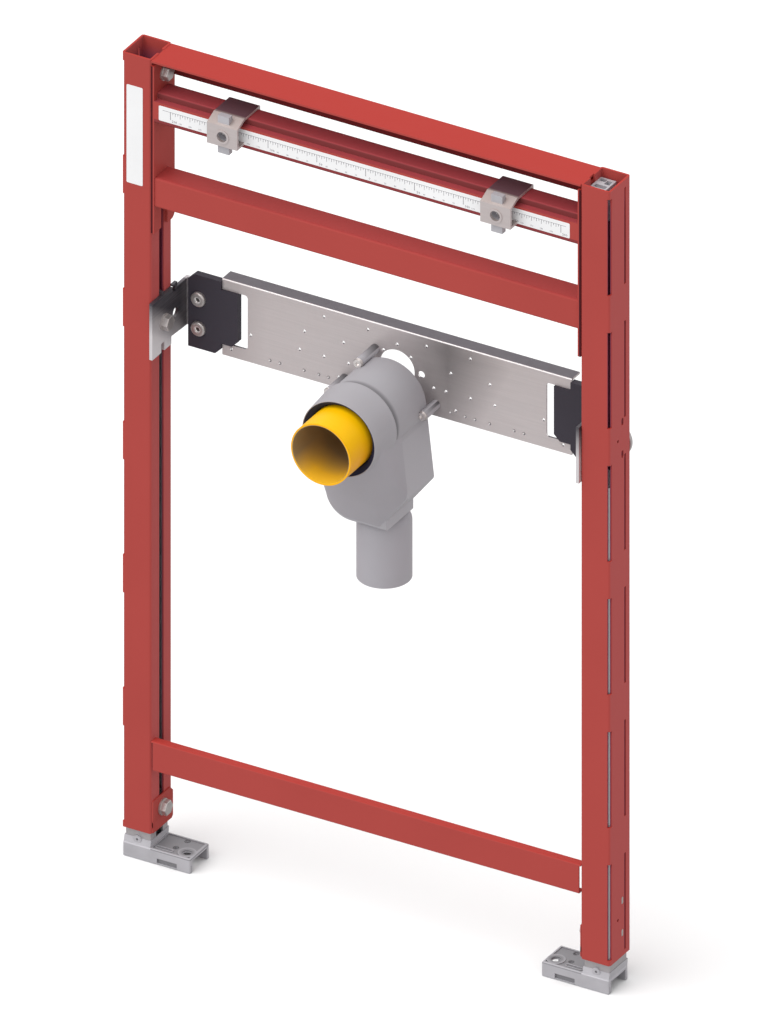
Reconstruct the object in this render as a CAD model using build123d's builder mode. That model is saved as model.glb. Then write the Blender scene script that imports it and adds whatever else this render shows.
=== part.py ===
from build123d import *
import os

os.makedirs("parts", exist_ok=True)

# Basin installation frame for a front wall, all sizes in millimetres
# The origin is the middle of the left foot's sole, X runs to the right, Y to the rear

# Whole frame
FRAME_W = 500.0
FRAME_H = 821.8
FOOT_INSET = 37.0

# Posts, open C sections with the open side towards the middle
POST_W = 30.0
POST_D = 37.0
POST_WALL = 2.0
POST_EDGE_R = 2.5
POST_BASE_Z = 28.8
POST_SLOT_W = 8.0
CORNER_SLOT_COUNT = 6
CORNER_SLOT_L = 98.5
CORNER_SLOT_TOP_DROP = 8.0
CORNER_SLOT_END = 5.0
CORNER_SLOT_FRONT = 3.0
CORNER_SLOT_SIDE = 4.0
SIDE_SLOT_Y = 8.7
SIDE_SLOT_W = 3.0
MARK_D = 3.0
MARK_Y = -4.0
LOOK_HOLE_W = 3.4
LOOK_HOLE_L = 7.5
LOOK_HOLE_Y = 4.0
LOOK_HOLE_RISE = 16.6
MARK_OVER_TRAP_BOLT = 13.7
MARK_OVER_FOOT_BOLT = 20.3

# Places that follow from the sizes above
MID_X = FRAME_W / 2 - FOOT_INSET
X_OUT = -FOOT_INSET
X_IN = X_OUT + POST_W
X_POST = X_OUT + POST_W / 2
Y_FRONT = -POST_D / 2
Y_REAR = POST_D / 2
MID_PLANE = Plane.YZ.offset(MID_X)
X_LIP = X_IN - POST_WALL
CAVITY_W = POST_W - 2 * POST_WALL

# Plates on the posts' inner faces
PLATE_T = 3.0
X_PLATE = X_IN + PLATE_T

# Top rail, an angle with the web on top
TOP_WEB_DROP = 0.5
TOP_WEB_T = 2.0
TOP_LEG_H = 30.0
TOP_EDGE_R = 1.5

# Basin rail, a stepped section
BASIN_RAIL_DROP = 35.0
BASIN_RAIL_H = 27.7
BASIN_RAIL_D = 26.0
BASIN_SHELF_H = 21.7
BASIN_SHELF_D = 6.0
BASIN_BEVEL = 1.0
RAIL_WALL = 2.0

# Cross tube
TUBE_DROP = 120.0
TUBE_H = 30.0
TUBE_D = 25.0
TUBE_SET_BACK = 1.0
TUBE_EDGE_R = 2.0

# Bottom rail, a channel open to the rear
LOW_RAIL_TOP = 124.3
LOW_RAIL_H = 30.0
LOW_RAIL_D = 8.0
LOW_RAIL_T = 1.5
LOW_RAIL_EDGE_R = 1.2
LOW_RAIL_END_GAP = 1.8

# Rail brackets
BRACKET_DROP = 6.0
BRACKET_L = 171.0
BRACKET_NOTCH_W = 11.0
BRACKET_NOTCH_H = 22.0
BRACKET_CORNER_R = 6.0

# Hex bolts of the frame
BOLT_D = 7.6
BOLT_HOLE_D = 8.2
HEX_AF = 13.0
HEX_H = 5.3
WASHER_D = 16.0
WASHER_T = 1.5
HEX_BEVEL = 0.6
BOLT_SPARE = 2.0
RAIL_BOLT_DROP = 20.0
FOOT_BOLT_Z = 48.8
NUT_H = 20.0
NUT_D = 22.0
FOOT_NUT_T = 6.0

# Sliding nut blocks inside the posts, pockets as distance from the lips, Y, width, depth
BLOCK_T = 16.0
BLOCK_H = 34.0
BLOCK_D = 28.0
BLOCK_DROP = 8.0
BLOCK_STAGGER = 14.0
BLOCK_LUG_T = 5.0
BLOCK_LUG_W = 14.0
BLOCK_LUG_H = 9.0
BLOCK_POCKETS = ((4.8, 10.0, 6.4, 4.6), (11.4, 7.6, 5.4, 6.4), (8.2, -1.0, 12.0, 5.0))
BLOCK_POCKET_DEPTH = 5.0

# Basin clamps
STUD_SPACING = 280.0
STUD_DROP = 49.0
STUD_HOLE_D = 10.0
CLAMP_W = 31.0
CLAMP_T = 2.5
CLAMP_REACH = 12.7
CLAMP_FACE_UP = 11.0
CLAMP_FACE_DOWN = 10.0
CLAMP_SLOPE_STEP = 1.4
CLAMP_BEND_R = 1.2
CLAMP_HOOK_H = 7.0
CLAMP_RING_D = 14.0
CLAMP_RING_T = 0.8
CLAMP_NUT_W = 11.5
CLAMP_NUT_BODY_W = 17.0
CLAMP_NUT_T = 6.0
CLAMP_NUT_UP = 19.5
CLAMP_NUT_DOWN = 18.5
NUT_SHOULDER = 7.0

# Feet
FOOT_OUT = 36.0
FOOT_IN = 33.0
FOOT_FORE = 18.7
FOOT_AFT = 15.7
FOOT_H = 14.2
FOOT_EDGE_R = 1.6
FOOT_TOP_T = 3.0
FOOT_SKIRT_T = 4.5
FOOT_RIB_T = 8.0
COLLAR_H = 6.0
COLLAR_T = 1.0
COLLAR_FLARE = 2.8
SET_SCREW_BOSS_D = 8.0
SET_SCREW_D = 2.4
SET_SCREW_T = 1.8
SET_SCREW_RISE = 4.6
ANCHOR_X = 24.0
ANCHOR_Y = -8.0
ANCHOR_HOLE_D = 9.0
ANCHOR_RIM_D = 17.0
ANCHOR_RIM_T = 0.8
PANEL_IN = -7.0
PANEL_RIM = 2.4
PANEL_DEPTH = 0.9
LEVEL_HOLE = (14.0, 10.0)
LEVEL_HOLE_D = 4.0
POINT_HOLE = (10.5, -4.6)
POINT_HOLE_R = 3.0
TROUGH = (3.0, -12.0)
TROUGH_L = 18.0
TROUGH_W = 5.0
TROUGH_RIM = 1.8
SCOOP_X = 9.2
SCOOP_L = 20.5
SCOOP_H = 6.0
SCOOP_DEPTH = 2.0

# Legs inside the posts
LEG_D = 31.0
LEG_WALL = 2.0
LEG_EDGE_R = 1.5
LEG_SLOT_W = 12.0
LEG_TOP_DROP = 305.0

# Foot clamp plates
FOOT_PLATE_BASE = 34.8
FOOT_PLATE_H = 27.0
FOOT_PLATE_CHAMFER = 5.0
FOOT_PLATE_T = 1.2
FOOT_PLATE_INSET = 1.5

# Trap cross plate
TRAP_PLATE_FRONT = 55.4
TRAP_PLATE_T = 2.0
TRAP_PLATE_SHORT = 142.0
TRAP_PLATE_H = 78.0
TRAP_PLATE_LOW = 16.4
TRAP_FLANGE_D = 14.6
END_NOTCH_L = 26.0
END_NOTCH_DROP = 11.0
END_NOTCH_RISE = 12.0
END_NOTCH_R = 3.0
PLATE_HOLE_D = 3.2
PLATE_EYE_D = 7.0
PLATE_EYE = (25.0, 38.0)
WINDOW_L = 58.0
WINDOW_W = 36.0
WINDOW_RISE = 27.0
# Hole rows as height over the plate's base and distances from the middle
HOLE_ROWS = (
    (68.5, (30.0, 75.0)),
    (62.0, (0.0,)),
    (52.5, (14.0,)),
    (48.0, (55.0, 95.0)),
    (28.0, (37.5, 50.0, 75.0, 100.0, 150.0)),
    (11.0, (60.0,)),
    (8.0, (55.0, 70.0, 80.0, 95.0, 120.0, 130.0, 170.0)),
)

# Black blocks that carry the plate's ends
SOUND_BLOCK_L = 33.7
SOUND_BLOCK_FRONT = 53.0
SOUND_BLOCK_T = 7.0
SOUND_TOP_DROP = 2.5
SOUND_BASE_RISE = 0.5
SOUND_CHAMFER = 6.0
SOUND_HOLD = 7.0
TONGUE_L = 17.0
TONGUE_SHORT = 10.0
BLOCK_SCREW_X = 22.5
BLOCK_SCREW_RISES = (51.5, 21.5)
BLOCK_SCREW_HEAD_D = 14.5
BLOCK_SCREW_HEAD_T = 3.4
BLOCK_SCREW_HEAD_R = 1.8
BLOCK_SCREW_D = 5.0
BLOCK_SCREW_SPARE = 3.0
BLOCK_SCREW_DRIVE_R = 3.0
BLOCK_SCREW_DRIVE_DEPTH = 1.6

# Angle brackets of the trap plate
ARM_FRONT = -3.0
ARM_DROP = 9.0
ARM_RISE = 11.7
ARM_STEP = 31.0
ARM_STEP_H = 8.0
ARM_CUT_H = 9.0
ARM_NECK_RISE = 18.0
ARM_NECK_DROP = 12.0
ARM_NOTCH = (33.0, 38.0)
ARM_NOTCH_H = 6.0
ARM_NUB_L = 3.5
ARM_NUB_H = 1.8
ARM_HOOK_L = 4.0
ARM_HOOK_T = 1.8
ARM_HOLE_Y = 38.5
ARM_HOLE_D = 9.5
ARM_TAB_Y = -2.4
ARM_TAB_T = 2.6
ARM_TAB_H = 8.0
ARM_TOE = 6.0

# Trap
TRAP_DROP = 300.6
TRAP_BOLT_RISE = 24.6
SOCKET_D = 80.0
SOCKET_BORE_D = 73.4
SOCKET_FRONT = -42.0
SOCKET_REAR = -13.0
SOCKET_BORE_DEPTH = 26.0
SOCKET_GROOVE_D = 72.0
SOCKET_GROOVE_W = 1.5
BARREL_D = 75.0
SOCKET_EDGE_R = 1.5
BARREL_REAR = 42.0
TRAP_FRONT = 0.5
TRAP_REAR = 48.0
TRAP_WALL = 3.5
TRAP_DEPTH_BELOW = 112.6
TRAP_LEFT = 42.0
TRAP_CORNER_R = 26.0
TRAP_EDGE_R = 1.5
TRAP_FOOT_RIGHT = 21.0
TRAP_FOOT_H = 10.0
TRAP_LOBE = (42.5, 38.0)
TRAP_LOBE_R = 5.0
TRAP_HIP = (36.0, 17.6)
TRAP_SHOULDER = 34.0
TRAP_CHIN_D = 74.0
TRAP_CHIN_X = 4.0
TRAP_CHIN_GAP = 3.0
TRAP_CHIN_BACK = 3.0
TRAP_CHEEK = (37.0, 54.0)
TRAP_CHEEK_Z = 48.0
TRAP_CHEEK_X = -1.0
TRAP_CHEEK_D = 70.0
TRAP_CHEEK_BACK = 6.0
TRAP_ROOM_W = 30.0
TRAP_ROOM_H = 70.0
TRAP_ROOM_RISE = 12.0
TRAP_ROOM_X = 4.0
TRAP_BOSS_D = 9.0
# Bosses as distance from the middle, height over the socket's axis and front
TRAP_BOSSES = ((-22.0, 35.1, 26.0), (40.0, -4.4, 32.0), (-53.0, -4.4, 27.0))
TRAP_WEB_FRONT = 40.0
TRAP_WEB_H = 5.0
TRAP_SCREW_D = 4.0
TRAP_HEAD_D = 8.0
TRAP_HEAD_T = 3.0
TRAP_HEAD_ROOM = 0.2
TRAP_DRIVE_R = 1.9
TRAP_DRIVE_DEPTH = 1.4
TRAP_SCREW_SPARE = 3.0
OUTLET_Y = 33.0
OUTLET_D = 50.0
OUTLET_BORE_D = 46.4
OUTLET_L = 66.8
OUTLET_NECK_D = 20.0
OUTLET_NECK_DEPTH = 20.0
OUTLET_NECK_SHIFT = 2.0
OUTLET_SHOULDER_R = 9.5

# Stop plates behind the posts, their height follows the trap brackets' bolts
STOP_W = 24.0
STOP_H = 22.6
STOP_T = 3.6
STOP_BULGE = 4.0

# Plug
PLUG_D = 61.0
PLUG_FRONT = -80.0
PLUG_L = 75.0
PLUG_WALL = 1.8
PLUG_ROOM = 0.2
SEAL_L = 14.0
SEAL_REACH = 6.0

# Heights that follow from the frame's height
RAIL_BOLT_Z = FRAME_H - RAIL_BOLT_DROP
BASIN_RAIL_TOP = FRAME_H - BASIN_RAIL_DROP
STUD_Z = FRAME_H - STUD_DROP
TUBE_TOP = FRAME_H - TUBE_DROP
BRACKET_TOP = FRAME_H - BRACKET_DROP
BRACKET_BASE = BRACKET_TOP - BRACKET_L
LEG_TOP = FRAME_H - LEG_TOP_DROP
TRAP_Z = FRAME_H - TRAP_DROP
TRAP_BOLT_Z = TRAP_Z + TRAP_BOLT_RISE
TRAP_SOLE_Z = TRAP_Z - TRAP_DEPTH_BELOW
TRAP_PLATE_BASE = TRAP_Z - TRAP_PLATE_LOW
TRAP_PLATE_TOP = TRAP_PLATE_BASE + TRAP_PLATE_H
LOWEST_SLOT = POST_BASE_Z + CORNER_SLOT_END
SLOT_SPAN = FRAME_H - CORNER_SLOT_TOP_DROP - CORNER_SLOT_L - LOWEST_SLOT
CORNER_SLOT_PITCH = SLOT_SPAN / (CORNER_SLOT_COUNT - 1)


def from_front(distance):
    """Part Y of a place measured from the posts' front faces."""
    return Y_FRONT + distance


def hex_bolt(z, plate_t, shank_l, nut_x=0.0, nut_t=0.0):
    """Hex bolt with washer on the inner side of a left plate, with a nut if one is sized."""
    head = Plane.YZ.offset(X_IN + plate_t)
    with BuildPart() as bolt:
        with BuildSketch(head):
            with Locations((0, z)):
                Circle(WASHER_D / 2)
        extrude(amount=WASHER_T)
        with BuildSketch(head.offset(WASHER_T)):
            with Locations((0, z)):
                RegularPolygon(HEX_AF / 2, 6, major_radius=False)
        extrude(amount=HEX_H)
        chamfer(bolt.faces().sort_by(Axis.X)[-1].edges(), HEX_BEVEL)
        with BuildSketch(head):
            with Locations((0, z)):
                Circle(BOLT_D / 2)
        extrude(amount=-shank_l)
        if nut_t:
            with BuildSketch(Plane.YZ.offset(nut_x)):
                with Locations((0, z)):
                    Rectangle(NUT_D, NUT_H)
            extrude(amount=-nut_t)
    return bolt.part


# Left post
with BuildPart() as left_post:
    with BuildSketch(Plane.XY.offset(POST_BASE_Z)):
        with Locations((X_POST, 0)):
            RectangleRounded(POST_W, POST_D, POST_EDGE_R)
            RectangleRounded(
                POST_W - 2 * POST_WALL,
                POST_D - 2 * POST_WALL,
                POST_EDGE_R - POST_WALL,
                mode=Mode.SUBTRACT,
            )
        with Locations((X_IN, 0)):
            Rectangle(3 * POST_WALL, POST_SLOT_W, mode=Mode.SUBTRACT)
    extrude(amount=FRAME_H - POST_BASE_Z)
    for index in range(CORNER_SLOT_COUNT):
        slot_top = FRAME_H - CORNER_SLOT_TOP_DROP - index * CORNER_SLOT_PITCH
        with BuildSketch(Plane.XY.offset(slot_top)):
            with Locations((X_OUT, Y_FRONT)):
                Rectangle(2 * CORNER_SLOT_FRONT, 2 * CORNER_SLOT_SIDE)
            with Locations((X_OUT, SIDE_SLOT_Y)):
                Rectangle(3 * POST_WALL, SIDE_SLOT_W)
        extrude(amount=-CORNER_SLOT_L, mode=Mode.SUBTRACT)
    for mark_z in (TRAP_BOLT_Z + MARK_OVER_TRAP_BOLT, FOOT_BOLT_Z + MARK_OVER_FOOT_BOLT):
        with BuildSketch(Plane.YZ.offset(X_OUT)):
            with Locations((MARK_Y, mark_z)):
                Circle(MARK_D / 2)
            with Locations(
                (LOOK_HOLE_Y, mark_z - LOOK_HOLE_RISE),
                (LOOK_HOLE_Y, mark_z + LOOK_HOLE_RISE),
            ):
                SlotOverall(LOOK_HOLE_L, LOOK_HOLE_W, rotation=90)
        extrude(amount=POST_WALL, mode=Mode.SUBTRACT)
left_post.part.label = "left_post"
export_step(left_post.part, "parts/left_post.step")

with BuildPart() as right_post:
    mirror(left_post.part, about=MID_PLANE)
right_post.part.label = "right_post"
export_step(right_post.part, "parts/right_post.step")

# Top rail, its web between the posts and its rear leg between the brackets
WEB_TOP = FRAME_H - TOP_WEB_DROP
with BuildPart() as top_rail:
    with BuildSketch(Plane.XY.offset(WEB_TOP)):
        with Locations((MID_X, 0)):
            Rectangle(2 * (MID_X - X_IN), POST_D)
    extrude(amount=-TOP_WEB_T)
    with BuildSketch(Plane.XZ.offset(-Y_REAR)):
        with Locations((MID_X, WEB_TOP)):
            Rectangle(2 * (MID_X - X_PLATE), TOP_LEG_H, align=(Align.CENTER, Align.MAX))
    extrude(amount=TOP_WEB_T)
    fillet(top_rail.edges().filter_by(Axis.X).group_by(Axis.Z)[-1].sort_by(Axis.Y)[-1], TOP_EDGE_R)
top_rail.part.label = "top_rail"
export_step(top_rail.part, "parts/top_rail.step")

# Basin rail, a folded section open below
RAIL_BASE = BASIN_RAIL_TOP - BASIN_RAIL_H
SHELF_Z = RAIL_BASE + BASIN_SHELF_H
RAIL_REAR = from_front(BASIN_RAIL_D)
with BuildPart() as basin_rail:
    with BuildSketch(Plane.YZ.offset(X_PLATE)):
        with BuildLine():
            Polyline(
                (Y_FRONT + BASIN_BEVEL, RAIL_BASE),
                (Y_FRONT, RAIL_BASE + BASIN_BEVEL),
                (Y_FRONT, SHELF_Z),
                (from_front(BASIN_SHELF_D), SHELF_Z),
                (from_front(BASIN_SHELF_D), BASIN_RAIL_TOP),
                (RAIL_REAR, BASIN_RAIL_TOP),
                (RAIL_REAR, RAIL_BASE),
                close=True,
            )
        make_face()
        with BuildLine():
            Polyline(
                (Y_FRONT + RAIL_WALL, RAIL_BASE + RAIL_WALL),
                (Y_FRONT + RAIL_WALL, SHELF_Z - RAIL_WALL),
                (from_front(BASIN_SHELF_D) + RAIL_WALL, SHELF_Z - RAIL_WALL),
                (from_front(BASIN_SHELF_D) + RAIL_WALL, BASIN_RAIL_TOP - RAIL_WALL),
                (RAIL_REAR - RAIL_WALL, BASIN_RAIL_TOP - RAIL_WALL),
                (RAIL_REAR - RAIL_WALL, RAIL_BASE - RAIL_WALL),
                (from_front(BASIN_SHELF_D) + RAIL_WALL, RAIL_BASE - RAIL_WALL),
                (from_front(BASIN_SHELF_D) + RAIL_WALL, RAIL_BASE + RAIL_WALL),
                close=True,
            )
        make_face(mode=Mode.SUBTRACT)
    extrude(amount=2 * (MID_X - X_PLATE))
    rail_tops = basin_rail.edges().filter_by(Axis.X).group_by(Axis.Z)[-1]
    fillet(rail_tops, TOP_EDGE_R)
basin_rail.part.label = "basin_rail"
export_step(basin_rail.part, "parts/basin_rail.step")

# Cross tube below the basin rail
TUBE_MID_Y = from_front(TUBE_SET_BACK + TUBE_D / 2)
with BuildPart() as cross_tube:
    with BuildSketch(Plane.YZ.offset(X_PLATE)):
        with Locations((TUBE_MID_Y, TUBE_TOP - TUBE_H / 2)):
            RectangleRounded(TUBE_D, TUBE_H, TUBE_EDGE_R)
            Rectangle(TUBE_D - 2 * RAIL_WALL, TUBE_H - 2 * RAIL_WALL, mode=Mode.SUBTRACT)
    extrude(amount=2 * (MID_X - X_PLATE))
cross_tube.part.label = "cross_tube"
export_step(cross_tube.part, "parts/cross_tube.step")

# Bottom rail
LOW_RAIL_MID_Z = LOW_RAIL_TOP - LOW_RAIL_H / 2
with BuildPart() as bottom_rail:
    with BuildSketch(Plane.YZ.offset(X_IN)):
        with Locations((Y_FRONT, LOW_RAIL_MID_Z)):
            Rectangle(LOW_RAIL_D, LOW_RAIL_H, align=(Align.MIN, Align.CENTER))
        with Locations((Y_FRONT + LOW_RAIL_T, LOW_RAIL_MID_Z)):
            Rectangle(
                LOW_RAIL_D,
                LOW_RAIL_H - 2 * LOW_RAIL_T,
                align=(Align.MIN, Align.CENTER),
                mode=Mode.SUBTRACT,
            )
    extrude(amount=2 * (MID_X - X_IN))
    low_rail_front = bottom_rail.edges().filter_by(Axis.X).group_by(Axis.Y)[0]
    fillet(low_rail_front, LOW_RAIL_EDGE_R)
    with BuildSketch(Plane.XZ.offset(-Y_FRONT)):
        for rail_end in (X_IN, 2 * MID_X - X_IN):
            with Locations((rail_end, LOW_RAIL_TOP - LOW_RAIL_T)):
                Rectangle(2 * LOW_RAIL_END_GAP, LOW_RAIL_H, align=(Align.CENTER, Align.MAX))
    extrude(amount=-LOW_RAIL_D, mode=Mode.SUBTRACT)
bottom_rail.part.label = "bottom_rail"
export_step(bottom_rail.part, "parts/bottom_rail.step")

# Rail brackets, plates with a notch that clears the post's slot
with BuildPart() as left_rail_bracket:
    with BuildSketch(Plane.YZ.offset(X_IN)):
        with BuildLine():
            Polyline(
                (Y_FRONT, BRACKET_BASE),
                (-BRACKET_NOTCH_W / 2, BRACKET_BASE),
                (-BRACKET_NOTCH_W / 2, BRACKET_BASE + BRACKET_NOTCH_H),
                (BRACKET_NOTCH_W / 2, BRACKET_BASE + BRACKET_NOTCH_H),
                (BRACKET_NOTCH_W / 2, BRACKET_BASE),
                (Y_REAR, BRACKET_BASE),
                (Y_REAR, BRACKET_TOP),
                (Y_FRONT, BRACKET_TOP),
                close=True,
            )
        make_face()
        with Locations((0, RAIL_BOLT_Z)):
            Circle(BOLT_HOLE_D / 2, mode=Mode.SUBTRACT)
    extrude(amount=PLATE_T)
    bracket_corners = left_rail_bracket.edges().filter_by(Axis.X).group_by(Axis.Y)[-1]
    fillet(bracket_corners, BRACKET_CORNER_R)
left_rail_bracket.part.label = "left_rail_bracket"
export_step(left_rail_bracket.part, "parts/left_rail_bracket.step")

with BuildPart() as right_rail_bracket:
    mirror(left_rail_bracket.part, about=MID_PLANE)
right_rail_bracket.part.label = "right_rail_bracket"
export_step(right_rail_bracket.part, "parts/right_rail_bracket.step")

# Sliding nut blocks, seated behind the posts' lips, the left one sits lower
BLOCK_TOP = FRAME_H - BLOCK_DROP
LOW_BLOCK_TOP = BLOCK_TOP - BLOCK_STAGGER


def nut_block(top):
    """Left nut block with its pockets and the bolt's bore."""
    with BuildPart() as block:
        with BuildSketch(Plane.XY.offset(top)):
            with Locations((X_LIP, 0)):
                Rectangle(BLOCK_T, BLOCK_D, align=(Align.MAX, Align.CENTER))
        extrude(amount=-BLOCK_H)
        with BuildSketch(Plane.XY.offset(top)):
            for from_lip, pocket_y, pocket_w, pocket_d in BLOCK_POCKETS:
                with Locations((X_LIP - from_lip, pocket_y)):
                    Rectangle(pocket_w, pocket_d)
        extrude(amount=-BLOCK_POCKET_DEPTH, mode=Mode.SUBTRACT)
        if top < RAIL_BOLT_Z:
            with BuildSketch(Plane.XY.offset(top - BLOCK_POCKET_DEPTH)):
                with Locations((X_LIP, 0)):
                    Rectangle(BLOCK_LUG_T, BLOCK_LUG_W, align=(Align.MAX, Align.CENTER))
            extrude(amount=BLOCK_LUG_H + BLOCK_POCKET_DEPTH)
        with BuildSketch(Plane.YZ.offset(X_LIP)):
            with Locations((0, RAIL_BOLT_Z)):
                Circle(BOLT_D / 2)
        extrude(amount=-(BLOCK_T - BOLT_SPARE), mode=Mode.SUBTRACT)
    return block.part


with BuildPart() as left_nut_block:
    add(nut_block(LOW_BLOCK_TOP))
left_nut_block.part.label = "left_nut_block"
export_step(left_nut_block.part, "parts/left_nut_block.step")

with BuildPart() as right_nut_block:
    mirror(nut_block(BLOCK_TOP), about=MID_PLANE)
right_nut_block.part.label = "right_nut_block"
export_step(right_nut_block.part, "parts/right_nut_block.step")

# Bolts of the rail brackets
with BuildPart() as left_rail_bolt:
    add(hex_bolt(RAIL_BOLT_Z, PLATE_T, PLATE_T + POST_WALL + BLOCK_T - 2 * BOLT_SPARE))
left_rail_bolt.part.label = "left_rail_bolt"
export_step(left_rail_bolt.part, "parts/left_rail_bolt.step")

with BuildPart() as right_rail_bolt:
    mirror(left_rail_bolt.part, about=MID_PLANE)
right_rail_bolt.part.label = "right_rail_bolt"
export_step(right_rail_bolt.part, "parts/right_rail_bolt.step")

# Basin clamps, bent plates hooked over the basin rail
CLAMP_X = MID_X - STUD_SPACING / 2
CLAMP_FACE = from_front(-CLAMP_REACH)
CLAMP_BACK = CLAMP_FACE + CLAMP_T
CLAMP_TOP = BASIN_RAIL_TOP + CLAMP_T
CLAMP_NUT_TOP = STUD_Z + CLAMP_NUT_UP
CLAMP_NUT_BASE = STUD_Z - CLAMP_NUT_DOWN
with BuildPart() as left_basin_clamp:
    with BuildSketch(Plane.YZ.offset(CLAMP_X - CLAMP_W / 2)):
        with BuildLine():
            Polyline(
                (RAIL_REAR + CLAMP_T, BASIN_RAIL_TOP - CLAMP_HOOK_H),
                (RAIL_REAR + CLAMP_T, CLAMP_TOP),
                (Y_FRONT, CLAMP_TOP),
                (CLAMP_FACE, STUD_Z + CLAMP_FACE_UP),
                (CLAMP_FACE, STUD_Z - CLAMP_FACE_DOWN),
                (Y_FRONT, STUD_Z - CLAMP_FACE_DOWN),
                (Y_FRONT, STUD_Z - CLAMP_FACE_DOWN + CLAMP_T),
                (CLAMP_BACK, STUD_Z - CLAMP_FACE_DOWN + CLAMP_T),
                (CLAMP_BACK, STUD_Z + CLAMP_FACE_UP - CLAMP_SLOPE_STEP),
                (Y_FRONT + CLAMP_SLOPE_STEP, BASIN_RAIL_TOP),
                (RAIL_REAR, BASIN_RAIL_TOP),
                (RAIL_REAR, BASIN_RAIL_TOP - CLAMP_HOOK_H),
                close=True,
            )
        make_face()
    extrude(amount=CLAMP_W)
    clamp_rear = left_basin_clamp.edges().filter_by(Axis.X).group_by(Axis.Y)[-1]
    fillet(clamp_rear.sort_by(Axis.Z)[-1], CLAMP_BEND_R)
    with BuildSketch(Plane.XZ.offset(-CLAMP_FACE)):
        with Locations((CLAMP_X, STUD_Z)):
            Circle(CLAMP_RING_D / 2)
    extrude(amount=CLAMP_RING_T)
    with BuildSketch(Plane.XZ.offset(-CLAMP_BACK)):
        with Locations((CLAMP_X, STUD_Z)):
            Circle(STUD_HOLE_D / 2)
    extrude(amount=2 * CLAMP_T, mode=Mode.SUBTRACT)
    with BuildSketch(Plane.XY.offset(CLAMP_NUT_TOP)):
        with Locations((CLAMP_X, CLAMP_BACK)):
            Rectangle(CLAMP_NUT_W, CLAMP_NUT_T, align=(Align.CENTER, Align.MIN))
    extrude(amount=CLAMP_NUT_BASE - CLAMP_NUT_TOP, mode=Mode.SUBTRACT)
left_basin_clamp.part.label = "left_basin_clamp"
export_step(left_basin_clamp.part, "parts/left_basin_clamp.step")

with BuildPart() as right_basin_clamp:
    mirror(left_basin_clamp.part, about=MID_PLANE)
right_basin_clamp.part.label = "right_basin_clamp"
export_step(right_basin_clamp.part, "parts/right_basin_clamp.step")

# Nut bars of the clamps, with tabs that reach out above and below
with BuildPart() as left_clamp_nut:
    with BuildSketch(Plane.XZ.offset(-CLAMP_BACK)):
        with Locations((CLAMP_X, CLAMP_NUT_BASE)):
            Rectangle(CLAMP_NUT_W, CLAMP_NUT_TOP - CLAMP_NUT_BASE, align=(Align.CENTER, Align.MIN))
        with Locations((CLAMP_X, STUD_Z)):
            Rectangle(CLAMP_NUT_BODY_W, 2 * NUT_SHOULDER)
            Circle(STUD_HOLE_D / 2, mode=Mode.SUBTRACT)
    extrude(amount=-CLAMP_NUT_T)
left_clamp_nut.part.label = "left_clamp_nut"
export_step(left_clamp_nut.part, "parts/left_clamp_nut.step")

with BuildPart() as right_clamp_nut:
    mirror(left_clamp_nut.part, about=MID_PLANE)
right_clamp_nut.part.label = "right_clamp_nut"
export_step(right_clamp_nut.part, "parts/right_clamp_nut.step")

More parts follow.
